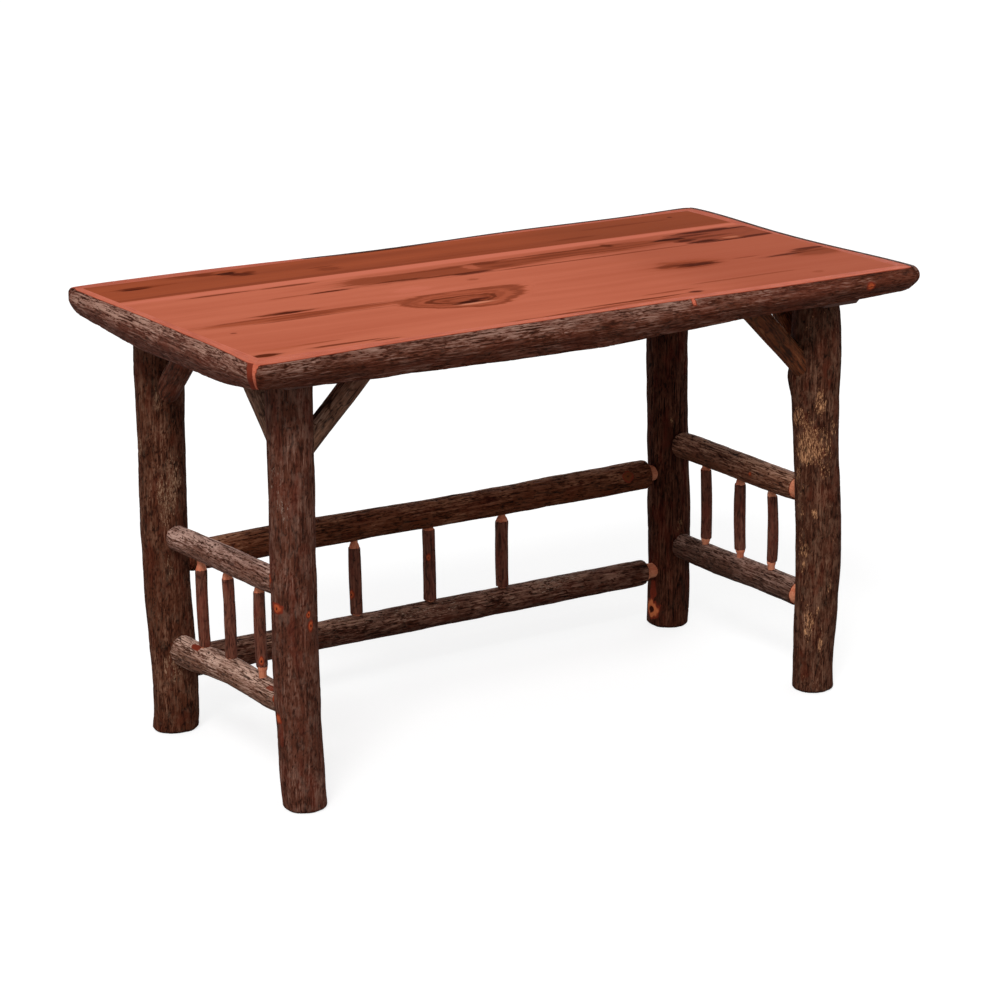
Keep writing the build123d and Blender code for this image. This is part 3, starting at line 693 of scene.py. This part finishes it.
railTones = {"ridgeAmount": 0.7, "blushAmount": 0.15, "lichenAmount": 0.1, "grain": 0.85}
rails = {
    "left_upper_rail": {
        "seed": 51, "plate": 0.0028, "direction": (0, 1, 0), "over": (0.007, 0.008),
        "tones": {"furrow": (42, 22, 15), "body": (120, 80, 65), "ridge": (196, 160, 146),
                  "ridgeAmount": 0.8},
    },
    "left_lower_rail": {
        "seed": 57, "plate": 0.0034, "direction": (0, 1, 0), "over": (0.006, 0.008),
        "tones": {"furrow": (40, 20, 14), "body": (126, 86, 68), "ridge": (212, 176, 158),
                  "ridgeAmount": 0.72},
        "scraped": [(0.335, 72, 0.007, 2.6, 0.45), (0.075, 55, 0.007, 1.8, 0.35)],
        "knots": [(0.048, 28, 0.007, 0.8, 0.001)],
    },
    "right_upper_rail": {
        "seed": 63, "plate": 0.0029, "direction": (0, 1, 0), "over": (0, 0.006),
        "tones": {"furrow": (30, 14, 9), "body": (108, 64, 45), "ridge": (180, 138, 114)},
        "knots": [(0.165, 8, 0.004, 1, 0.0012)],
    },
    "right_lower_rail": {
        "seed": 69, "plate": 0.0029, "direction": (0, 1, 0), "over": (0, 0.008),
        "tones": {"furrow": (28, 15, 11), "body": (88, 58, 46), "ridge": (166, 132, 118),
                  "blushAmount": 0.12},
    },
    "back_upper_rail": {
        "seed": 75, "plate": 0.003, "direction": (1, 0, 0), "over": (0.008, 0),
        "tones": {"furrow": (26, 10, 6), "body": (98, 49, 28), "ridge": (162, 115, 88),
                  "ridgeAmount": 0.66, "blushAmount": 0.25, "wood": {"knot": (112, 60, 32)}},
        "knots": [(0.942, 160, 0.009, 1.2, 0.002)],
        "swellings": [(0.526, 112, 0.009, 1.8, 0.003), (0.575, 112, 0.011, 2, 0.003),
                      (0.74, 112, 0.01, 1.6, 0.002)],
    },
    "back_lower_rail": {
        "seed": 81, "plate": 0.003, "direction": (1, 0, 0), "over": (0.008, 0),
        "tones": {"furrow": (24, 11, 7), "body": (80, 41, 28), "ridge": (172, 132, 112),
                  "ridgeAmount": 0.55, "blushAmount": 0.2, "lichen": (186, 158, 138), "lichenAmount": 0.3,
                  "mottle": 0.2},
        "crusts": [(0.5, 120, 0.03, 12, 0.55), (0.78, 130, 0.02, 3, 0.8), (0.3, 120, 0.016, 4, 0.7)],
        "swellings": [(0.33, 110, 0.01, 1.8, 0.002), (0.75, 110, 0.011, 1.5, 0.003)],
    },
}
for name, settings in rails.items():
    settings.update({"stretch": 12, "depth": 0.0012, "lump": 0.0011, "shave": 0.0097, "tenon": 0.014,
                     "around": 0.0014, "along": 0.0022, "rounding": 0.004})
    buildTenonedLog(name, settings, barkLook(name + "Bark", {**railTones, **settings["tones"]}))
print("rails ready")


# ---- spindles ----

spindle = {
    "tones": {"furrow": (52, 26, 19), "body": (112, 64, 49), "ridge": (152, 112, 94), "ridgeAmount": 0.45,
              "blush": (112, 45, 32), "blushAmount": 0.4, "lichenAmount": 0.05, "gloss": 0.08, "bump": 0.3,
              "grain": 0.6},
    "plate": 0.0055, "stretch": 5, "depth": 0.0004, "lump": 0.0007, "direction": (0, 0, 1),
    "shave": 0.0087, "tenon": 0.0065, "around": 0.0012, "along": 0.0022, "rounding": 0.002,
}
spindleKnots = {
    "back_spindle_1": [(0.062, -162, 0.0045, 1.8, 0.0016)],
    "back_spindle_2": [(0.106, -128, 0.0042, 1.4, 0.0012)],
    "left_spindle_1": [(0.048, -125, 0.0045, 1.5, 0.0016)],
    "right_spindle_1": [(0.03, -150, 0.004, 1, 0.002)],
}
spindleOver = {"left_spindle_2": (0.007, 0), "left_spindle_3": (0.007, 0), "back_spindle_1": (0.006, 0),
               "back_spindle_2": (0.006, 0.004), "back_spindle_3": (0.006, 0),
               "right_spindle_3": (0, 0.005)}
spindleLook = barkLook("spindleBark", spindle["tones"])
shadedSpindleLook = barkLook("shadedSpindleBark", {**spindle["tones"], "body": (102, 56, 42)})
for place in ("left", "right", "back"):
    for count in (1, 2, 3):
        name = f"{place}_spindle_{count}"
        extra = {"seed": 91 + 7 * count + 31 * len(place), "knots": spindleKnots.get(name, []),
                 "over": spindleOver.get(name, (0, 0))}
        look = shadedSpindleLook if place == "right" else spindleLook
        buildTenonedLog(name, {**spindle, **extra}, look)
print("spindles ready")


# ---- braces ----

def buildBrace(name, settings, look):
    log = logFrame(name, settings["direction"], False)
    outward = unit((settings["direction"][0], settings["direction"][1], 0))
    axis, upward, angles = log["axis"], log["up"], log["angles"]
    scan = np.arange(0.002, 0.06, scanStep)
    jump = np.argmax(np.diff([reachOf(log, place, 0) for place in scan]))
    foot = scan[jump] + scanStep
    top = (log["points"][:, 2].max() - log["first"][2]) / axis[2]
    footSlope = -(upward @ outward) / (axis @ outward)
    topSlope = -upward[2] / axis[2]

    def placeAt(share, height):  # share 0 lies in the flat foot, share 1 in the flat top
        low = foot + footSlope * height
        return low + share * (top + topSlope * height - low)

    shares = np.linspace(0.02, 0.98, 14)
    radius = reachOf(log, (foot + top) / 2, 0)
    rings = []
    for share in shares:
        ring = np.full(len(angles), radius)
        for _ in range(2):
            ring = np.array([reachOf(log, placeAt(share, math.sin(turn) * reach), turn)
                             for turn, reach in zip(angles, ring)])
            ring = closeBores(angles, ring)
        rings.append(ring)
    log["rings"], log["rowPlaces"] = np.array(rings), shares
    around, rows = int(fullTurn * radius / settings["around"]), int((top - foot) / settings["along"])
    fineAngles = np.arange(around) * fullTurn / around
    fineShares = np.linspace(0, 1, rows)
    radii = spread(log, fineAngles, fineShares)
    angleGrid, shareGrid = np.meshgrid(fineAngles, fineShares)
    places = placeAt(shareGrid, np.sin(angleGrid) * radii)
    radii, layers = dressBark(log, settings, angleGrid, places, radii)
    places = placeAt(shareGrid, np.sin(angleGrid) * radii)
    tenon, rise = settings["tenon"], np.sin(fineAngles)
    before = [(tenon * 0.9, 0.0005, 1), (tenon, 0.0015, 1), (tenon, placeAt(0, rise * tenon), 1)]
    after = [(radii[-1] * share, placeAt(1, rise * radii[-1] * share), 1) for share in (0.9, 0.4)]
    return assembleLog(name, log, settings, look, (radii, places, layers, fineAngles), before, after)


braceTones = {"furrow": (48, 29, 21), "body": (122, 84, 64), "ridge": (184, 150, 130), "ridgeAmount": 0.6,
              "blush": (84, 40, 26), "blushAmount": 0.3, "lichenAmount": 0.05, "gloss": 0.08, "bump": 0.3,
              "grain": 0.5}
tanBrace = {"body": (112, 58, 32), "ridge": (156, 108, 74)}
redBrace = {"body": (104, 50, 32), "blush": (128, 52, 32)}
braces = {
    "front_left_long_brace": {"seed": 131, "direction": (1, 0, 1), "tones": {}},
    "front_right_long_brace": {"seed": 137, "direction": (-1, 0, 1), "tones": tanBrace},
    "front_left_end_brace": {"seed": 141, "direction": (0, 1, 1), "tones": {}},
    "front_right_end_brace": {"seed": 147, "direction": (0, 1, 1), "tones": tanBrace},
    "back_left_end_brace": {"seed": 151, "direction": (0, -1, 1), "tones": redBrace},
    "back_right_end_brace": {"seed": 157, "direction": (0, -1, 1), "tones": {}},
}
for name, settings in braces.items():
    settings.update({"plate": 0.006, "stretch": 6, "depth": 0.0005, "lump": 0.0007, "tenon": 0.01,
                     "around": 0.0015, "along": 0.002})
    buildBrace(name, settings, barkLook(name + "Bark", {**braceTones, **settings["tones"]}))
print("braces ready")


# ---- half logs round the top ----

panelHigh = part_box("plank_1")[1]
panelEnd, panelSide, topHeight = (float(value) for value in panelHigh)
upward = np.array((0, 0, 1.0))
heart = np.array((0.004, topHeight - 0.024))  # the middle of the polar outline: (outward, height)
arcCount, flatCount = 60, 6
cornerRound = 0.022


def halfLogFrame(side, outward):
    half, face = (panelEnd, panelSide) if outward[0] == 0 else (panelSide, panelEnd)
    return {"outward": np.array(outward, float), "along": np.cross((0, 0, 1), outward), "half": half,
            "face": face, "tree": treeOf(side + "_half_log")[1]}


def trimPoint(log, place, out, height):
    return log["along"] * place + log["outward"] * (log["face"] + out) + upward * height


def flatEdge(log, share):
    # how far out the planed strip reaches, found by halving
    low, high, below = 0.002, 0.05, 0.03
    for _ in range(7):
        middle = (low + high) / 2
        target = trimPoint(log, share * (log["half"] + middle), middle, topHeight - below)
        drop = distanceIn(log["tree"], target, upward, 0.05)
        low, high = (middle, high) if drop == drop and drop > below - 0.0003 else (low, middle)
    return low


def outlineAt(log, share, rim):
    # one section: the flat strip up to the rim, the bark in polar steps, and the foot of the inner face
    flat = flatEdge(log, share)
    outline = [((flat - rim) * count / (flatCount - 1), topHeight) for count in range(flatCount)]
    start = math.atan2(topHeight - heart[1], flat - heart[0])
    out = flat
    for turn in np.linspace(start, math.radians(-96), arcCount):
        direction = log["outward"] * math.cos(turn) + upward * math.sin(turn)
        for _ in range(4):
            target = trimPoint(log, share * (log["half"] + out), heart[0], heart[1])
            reach = distanceIn(log["tree"], target, direction, 0.09)
            reach = reach if reach == reach else 0.02
            out = (out + heart[0] + reach * math.cos(turn)) / 2
        outline.append((out, heart[1] + reach * math.sin(turn)))
    outline.append((0, outline[-1][1]))
    return outline


def roundCorner(out, height, toMitre, fromFlat):
    # near the mitre the section draws in, most where it lies furthest out
    near = np.clip(toMitre, 0, cornerRound)
    turn = (np.sqrt(2 * cornerRound ** 2 - near ** 2) - near) / 2
    drawn = (cornerRound - np.sqrt(cornerRound ** 2 - turn ** 2)) * ramp(-4, 0, fromFlat)
    below = np.clip((heart[1] - height) / 0.03, 0, 1)
    out = out - drawn * np.clip(out / out.max(1, keepdims=True), 0, 1) * (1 - 0.35 * below)
    return out, height + 0.5 * drawn * below


def dressTrim(settings, half, out, height, place, fromFlat, fromBottom):
    # how far each point swells outward, and the layers
    seed, depth = settings["seed"], settings["depth"]
    space = np.stack([out - heart[0], height - heart[1], place], 2).reshape(-1, 3)
    relief = barkRelief(space, seed, settings["plate"], settings["stretch"]).reshape(out.shape)
    lump = cloud(space / np.array([0.03, 0.03, 0.06]), seed + 31, 2).reshape(out.shape)
    onBark = ramp(0, 3, fromFlat) * ramp(0, 3, fromBottom)
    bareRim, edgeBare = (-1, 0) if "rim" in settings else (0, 0.5)
    edge = np.where(fromFlat < bareRim + 1.5, edgeBare, 0)
    bare = np.where((fromFlat <= bareRim) | (fromBottom < 0), 1, edge)
    bare = np.where((place > settings.get("rimEnd", 1)) & (fromFlat <= 0), 1, bare).astype(float)
    gap = 0.0016 * lump
    drop = topHeight - height
    flare = np.exp(-drop / 0.007)
    for distance, (width, kind, more) in zip((place + half + out, half + out - place), settings["ends"]):
        wide = width * (1 + more * flare)
        bare = np.maximum(bare, kind * ramp(wide + 0.001, wide - 0.001, distance + gap))
        onBark = onBark * ramp(wide - 0.001, wide + 0.004, distance + gap)
    for middle, lean, width, reach in settings.get("grooves", []):
        away = np.abs(place - middle - lean * drop) + gap
        inside = ramp(width * 1.3, width * 0.7, away) * ramp(reach + 0.006, reach, drop)
        bare = np.maximum(bare, inside)
        dip = 0.003 * ramp(width * 2.5, width * 0.4, away) * ramp(reach * 3, reach, drop)
        onBark = onBark * (1 - inside)
        onBark = np.where(fromFlat > 1, onBark - dip / depth, onBark)
    knot = 0 * out
    for middle, level, size, rise in settings.get("knots", []):
        away = np.hypot((place - middle) * 0.8, height - level) / size + 0.3 * lump
        away = np.where(fromFlat > 0, away, 9)
        knot = np.maximum(knot, knotShare(away))
        onBark = onBark + rise / depth * knotRise(away)
    swell = depth * onBark * (relief - 0.55) + 0.0009 * np.clip(onBark, 0, 1) * lump
    # painted top light: the upper side of the half log is painted paler, as if lit from above
    upturned = (height - heart[1]) / np.hypot(out - heart[0], height - heart[1])
    # fade dims the painted top light towards the far end of the log where it is set
    fade = 1 - settings.get("fade", 0) * ramp(0.1, 0.5, place)
    topLight = np.clip(upturned * 1.4 + 0.1 + 0.2 * lump, 0, 1) * fade
    layers = {"relief": relief, "bare": bare, "knot": knot, "crust": 0 * bare,
              "topLight": np.where(fromFlat <= 0, 0, topLight)}
    layers = {key: values.ravel() for key, values in layers.items()}
    return np.where(fromFlat > 0, swell, 0), {**layers, "logSpace": space + seed}


def buildHalfLog(side, settings, look):
    log = halfLogFrame(side, settings["outward"])
    half, endGap = log["half"], cornerRound / log["half"]
    shares = np.linspace(endGap - 1, 1 - endGap, int(half * 2 / 0.018))
    outlines = np.array([outlineAt(log, share, settings.get("rim", 0.0015)) for share in shares])
    rows = int(2 * half / settings["along"])
    fine = np.linspace(-1, 1, rows)
    out, height = (np.stack([np.interp(fine, shares, column) for column in outlines[..., part].T], 1)
                   for part in (0, 1))
    fine, index = fine[:, None], np.arange(out.shape[1])[None, :] + 0 * out
    fromFlat, fromBottom = index - flatCount, flatCount + arcCount - 1 - index
    place = fine * (half + out)
    toMitre = np.minimum(place + half + out, half + out - place)
    out, height = roundCorner(out, height, toMitre, fromFlat)
    place = fine * (half + out)
    swell, layers = dressTrim(settings, half, out, height, place, fromFlat, fromBottom)
    turnOut, turnUp = out - heart[0], height - heart[1]
    swell = swell / np.hypot(turnOut, turnUp)
    out, height = out + swell * turnOut, np.minimum(height + swell * turnUp, topHeight)
    place = fine * (half + out)
    points = trimPoint(log, place[..., None], out[..., None], height[..., None]).reshape(-1, 3)
    return addPiece(side + "_half_log", points, closedGrid(rows, out.shape[1]), layers, look)


trimWood = {"pale": (206, 110, 84), "deep": (188, 94, 70), "innerBark": (120, 48, 32)}
darkRim = {"pale": (190, 95, 70), "deep": (176, 84, 61), "innerBark": (48, 20, 12)}
trimTones = {"furrow": (48, 24, 16), "body": (96, 48, 32), "ridge": (156, 120, 106), "ridgeAmount": 0.68,
             "grain": 0.8, "blush": (100, 46, 33), "blushAmount": 0.3, "lichenAmount": 0.1, "bump": 0.7,
             "wood": trimWood}
# ends: how wide the wood lies bare before the mitre, how bare, and how much wider on top, at both ends
closedEnd = (0.001, 0, 0)
halfLogs = {
    "front": {"outward": (0, -1, 0), "seed": 171, "ends": [(0.005, 1, 2), closedEnd], "fade": 1,
              "grooves": [(0.176, -0.3, 0.0035, 0.007)], "knots": [(0.536, 0.742, 0.0075, 0.002)],
              "tones": {}},
    "right": {"outward": (1, 0, 0), "seed": 177, "ends": [closedEnd, closedEnd], "rim": 0.013,
              "tones": {"wood": darkRim}},
    "back": {"outward": (0, 1, 0), "seed": 181, "ends": [closedEnd, closedEnd], "rim": 0.013,
             "rimEnd": 0.2, "tones": {"wood": darkRim}},
    "left": {"outward": (-1, 0, 0), "seed": 187, "ends": [closedEnd, (0.014, 0.5, 0.3)],
             "tones": {"furrow": (56, 30, 22), "body": (104, 56, 42), "ridge": (172, 134, 118),
                       "ridgeAmount": 0.7}},
}
for side, settings in halfLogs.items():
    settings.update({"plate": 0.003, "stretch": 16, "depth": 0.0014, "along": 0.0024})
    buildHalfLog(side, settings, barkLook(side + "TrimBark", {**trimTones, **settings["tones"]}))
print("half logs ready")


# ---- planks ----

plankTones = {"pale": (198, 108, 81), "deep": (184, 94, 68), "line": (150, 70, 46)}
ink, burnt, coffee, umber = (64, 16, 2), (80, 25, 8), (94, 35, 12), (108, 42, 18)
chestnut, hazel, tawny, sienna = (118, 49, 26), (130, 56, 32), (142, 66, 40), (150, 71, 45)
rust, rose, pink = (160, 76, 48), (184, 95, 68), (207, 114, 90)
# each spot: x, y, half length, half width in millimetres, colour, strength, raggedness
# each ring: x, y, half length, half width, inner and outer edge, colour, strength
planks = {
    "plank_1": {
        "tones": {"pale": (162, 78, 48), "deep": (142, 66, 40), "line": (112, 48, 26)},
        # painted shade: a darker copy of the right-end shading, to suit this plank's own darker tones
        "paintedEndShade": (640, 200, 460, 300, (136, 66, 40), 0.6, 0.02),
        "spots": [
            (-553, 248, 32, 10, burnt, 1, 0.2), (-530, 250, 62, 5, (126, 50, 20), 0.6, 0.3),
            (-404, 282, 24, 10, umber, 0.85, 0.35), (-366, 272, 20, 10, ink, 0.95, 0.35),
            (-345, 255, 26, 7, burnt, 0.9, 0.35), (-328, 262, 12, 11, umber, 0.8, 0.35),
            (-340, 244, 22, 4, ink, 0.7, 0.3), (-420, 292, 50, 5, chestnut, 0.8, 0.3),
            (-440, 282, 44, 4, chestnut, 0.6, 0.3), (-202, 214, 24, 15, chestnut, 0.6, 0.3),
            (-212, 232, 30, 5, chestnut, 0.6, 0.3), (-300, 176, 330, 9, (122, 54, 34), 0.5, 0.2),
            (298, 199, 46, 6, chestnut, 0.6, 0.3), (440, 252, 90, 5, chestnut, 0.6, 0.3),
            (60, 190, 150, 5, hazel, 0.4, 0.3), (554, 265, 6, 4, ink, 0.7, 0.1)],
    },
    "plank_2": {
        "tones": {}, "taper": 0.1,
        "rings": [
            (540, 82, 122, 50, 0.0, 1.0, umber, 0.97), (540, 82, 122, 50, 0.84, 1.04, ink, 0.95),
            (530, 92, 88, 32, 0.82, 1.0, burnt, 0.75), (560, 94, 84, 17, 0.78, 0.98, burnt, 0.6)],
        "spots": [
            (0, 152, 900, 15, pink, 0.8, 0.08), (-460, 132, 52, 5, umber, 0.8, 0.3),
            (-327, 130, 64, 5.5, umber, 0.8, 0.3), (-300, 54, 48, 6, (88, 28, 6), 0.95, 0.3),
            (-362, 54, 40, 4, sienna, 0.7, 0.25), (-20, 84, 232, 38, tawny, 0.95, 0.16),
            (-192, 88, 66, 34, tawny, 0.9, 0.22), (270, 94, 200, 30, tawny, 0.9, 0.18),
            (-139, 64, 44, 9, coffee, 0.85, 0.35), (-70, 58, 44, 5, umber, 0.75, 0.3),
            (-16, 51, 44, 7, burnt, 0.85, 0.3), (-30, 104, 90, 6, chestnut, 0.6, 0.3),
            (44, 108, 34, 12, umber, 0.75, 0.3), (60, 72, 26, 8, chestnut, 0.6, 0.3),
            (160, 96, 100, 6, chestnut, 0.6, 0.3), (190, 113, 170, 4.4, umber, 0.8, 0.25),
            (260, 92, 200, 3.4, chestnut, 0.65, 0.25), (260, 76, 190, 3.4, chestnut, 0.65, 0.25),
            (210, 41, 220, 3.6, chestnut, 0.75, 0.25), (240, 33, 160, 2.8, hazel, 0.55, 0.25),
            (7, 92, 14, 20, rose, 0.8, 0.3), (306, 114, 10, 15, coffee, 0.8, 0.3),
            (432, 97, 34, 10, (56, 12, 0), 0.95, 0.25), (448, 72, 24, 8, ink, 0.85, 0.3),
            (476, 52, 34, 9, ink, 0.9, 0.3), (540, 124, 76, 9, ink, 0.85, 0.3),
            (520, 38, 60, 7, ink, 0.9, 0.3), (590, 47, 46, 7, burnt, 0.85, 0.3),
            (484, 106, 44, 6, burnt, 0.75, 0.3), (505, 84, 60, 6, coffee, 0.6, 0.3),
            (536, 56, 30, 12, tawny, 0.9, 0.16), (536, 57, 20, 7, (184, 104, 76), 0.9, 0.2)],
    },
    "plank_3": {
        "tones": {},
        "spots": [
            (-172, -4, 36, 24, pink, 0.5, 0.4), (-150, -40, 90, 12, pink, 0.4, 0.3),
            (-431, -46, 52, 11, umber, 0.85, 0.3), (-428, -46, 26, 7, burnt, 1, 0.25),
            (-43, 5, 12, 8, sienna, 0.7, 0.3), (200, -20, 160, 10, rose, 0.4, 0.3)],
    },
    "plank_4": {
        "tones": {}, "taper": 0.42,
        "rings": [
            (-134, -112, 104, 62, 0.3, 1.06, rust, 0.75),
            (-134, -112, 104, 62, 0.88, 1.0, chestnut, 0.6),
            (-140, -114, 82, 44, 0.82, 0.96, hazel, 0.45), (-136, -121, 56, 32, 0.0, 1.0, sienna, 0.85),
            (-136, -121, 56, 32, 0.82, 0.98, coffee, 0.75), (-134, -124, 42, 22, 0.76, 0.92, umber, 0.5)],
        "spots": [
            (-430, -76, 205, 17, rust, 0.9, 0.12), (-430, -64, 205, 4, hazel, 0.7, 0.3),
            (-420, -80, 60, 7, hazel, 0.7, 0.3), (-440, -92, 90, 5, hazel, 0.7, 0.3),
            (-300, -72, 130, 3, hazel, 0.65, 0.25), (-300, -94, 90, 2.6, tawny, 0.5, 0.25),
            (-135, -150, 36, 7, (212, 130, 100), 0.9, 0.18), (-140, -138, 32, 9, ink, 1, 0.22),
            (-118, -127, 20, 8, burnt, 0.9, 0.25), (-24, -86, 24, 4, sienna, 0.8, 0.3),
            (-40, -60, 26, 4, tawny, 0.6, 0.3), (-236, -80, 14, 16, sienna, 0.6, 0.3),
            (328, -92, 76, 34, rust, 0.85, 0.22), (312, -80, 42, 10, hazel, 0.75, 0.3),
            (344, -101, 48, 17, umber, 0.85, 0.3), (350, -103, 30, 9, (72, 20, 4), 0.8, 0.3),
            (322, -94, 24, 8, burnt, 0.75, 0.3), (345, -118, 48, 5, hazel, 0.75, 0.3),
            (290, -92, 30, 10, umber, 0.75, 0.3), (300, -64, 16, 6, sienna, 0.7, 0.3),
            (448, -99, 32, 3, hazel, 0.7, 0.25), (586, -124, 60, 30, tawny, 0.95, 0.14),
            (592, -95, 44, 7, burnt, 0.85, 0.3), (523, -118, 50, 7, burnt, 0.85, 0.3),
            (560, -106, 32, 6, coffee, 0.75, 0.3), (590, -118, 34, 6, chestnut, 0.65, 0.3),
            (-571, -127, 6, 4, (110, 44, 26), 0.7, 0.1)],
    },
    "plank_5": {
        "tones": {},
        "spots": [
            (348, -229, 130, 4.5, tawny, 0.7, 0.25), (-602, -284, 26, 9, coffee, 1, 0.2),
            (-452, -281, 74, 4.6, umber, 0.85, 0.25), (-393, -291, 34, 3.4, umber, 0.75, 0.25),
            (-493, -254, 40, 4.5, sienna, 0.7, 0.3), (-560, -256, 40, 10, (176, 88, 60), 0.6, 0.3),
            (90, -279, 120, 4.2, umber, 0.85, 0.25), (60, -290, 90, 3, hazel, 0.7, 0.25),
            (173, -254, 54, 3.6, hazel, 0.7, 0.25), (211, -277, 14, 7, burnt, 0.9, 0.2),
            (-35, -296, 120, 4.6, umber, 0.8, 0.25), (480, -262, 12, 8, sienna, 0.6, 0.2)],
    },
}
# painted shade: a wide soft spot darkens every plank towards its right end, where the light falls off
paintedEndShade = (640, 0, 460, 900, (164, 82, 58), 0.65, 0.02)


def plankLook(name, settings):
    look, tree, shader = newLook(name + "Look")
    place = node(tree, "TexCoord", {}, "Object")
    flat = node(tree, "Mapping", {"Vector": place, "Scale": (1, 1, 0.3)})
    tones = {key: paint(*tone) for key, tone in {**plankTones, **settings["tones"]}.items()}

    def spotOf(x, y, length, width, ragged, taper=0.0):
        return placeGroup(tree, spotGroup, {
            "Vector": place, "Place": (x / 1000, y / 1000, topHeight), "Ragged": ragged, "Taper": taper,
            "Reach": (length / 1000, width / 1000, 0.05)})

    rings, bend, bendShare = [], 0.0, 0.0
    warp = (noise(place, 18, (0.5, 1.1, 1), 5, 0.65) - 0.5) * 0.95
    for x, y, length, width, *ring in settings.get("rings", []):
        uneven = spotOf(x, y, length, width, 0.04, settings["taper"])["Distance"] + warp
        if not rings:  # the grain bends round the first ring of a plank
            bend, bendShare = uneven * (width / 1000), step(uneven, 1.3, 0.9)
        rings.append((uneven, *ring))
    board = placeGroup(tree, boardGroup, {
        "Vector": flat, "Bend": bend, "Bend Share": bendShare, "Pale": tones["pale"],
        "Deep": tones["deep"], "Line": tones["line"], "Line Amount": 0.3})
    color = board["Color"]
    for uneven, inner, outer, tone, strength in rings:
        inside = step(uneven, outer + 0.06, outer - 0.03)
        if inner:
            inside = inside * step(uneven, inner - 0.06, inner + 0.03)
        color = mixColor(inside * strength, color, paint(*tone))
    spots = [settings.get("paintedEndShade", paintedEndShade), *settings["spots"]]
    for x, y, length, width, tone, strength, ragged in spots:
        mask = spotOf(x, y, length, width, ragged)["Mask"]
        color = mixColor(mask * strength, color, paint(*tone))
    fill(shader, {"Base Color": color, "Roughness": board["Roughness"], "Specular IOR Level": 0.002,
                  "Normal": bumped(board["Height"], 0.15, 0.0004)})
    return look


def dressNode(name, look):
    materials = nodes[name].data.materials
    materials.clear()
    materials.append(look)


for name, settings in planks.items():
    dressNode(name, plankLook(name, settings))
print("planks ready")


# ---- cleats, dowels and screws ----

def plainWood(name, pale, deep):
    look, tree, shader = newLook(name)
    place = node(tree, "TexCoord", {}, "Object")
    turned = node(tree, "Mapping", {"Vector": place, "Rotation": (math.pi / 2, 0, 0)})
    grain = placeGroup(tree, bareGroup, {"Space": turned, "Pale": paint(*pale), "Deep": paint(*deep)})
    fill(shader, {"Base Color": grain["Color"], "Roughness": 0.7,
                  "Normal": bumped(grain["Height"], 0.2, 0.0004)})
    return look


# painted shade: the cleats under the top get a dark brown grain that stands in for the shade there
cleatLook = plainWood("cleatPaintedShade", (98, 54, 37), (74, 38, 26))
dressNode("left_cleat", cleatLook)
dressNode("right_cleat", cleatLook)
dressNode("trim_dowels", plainWood("dowelBeech", (206, 166, 120), (186, 142, 96)))

screwLook, screwTree, screwShader = newLook("zincScrew")
scratches = noise(node(screwTree, "TexCoord", {}, "Object"), 900, (1, 1, 0.2), 3)
fill(screwShader, {"Base Color": mixColor(scratches, paint(150, 150, 146), paint(196, 196, 190)),
                   "Metallic": 1, "Roughness": rescale(scratches, 0.25, 0.5)})
dressNode("brace_screws", screwLook)
dressNode("cleat_screws", screwLook)
print("small parts ready")
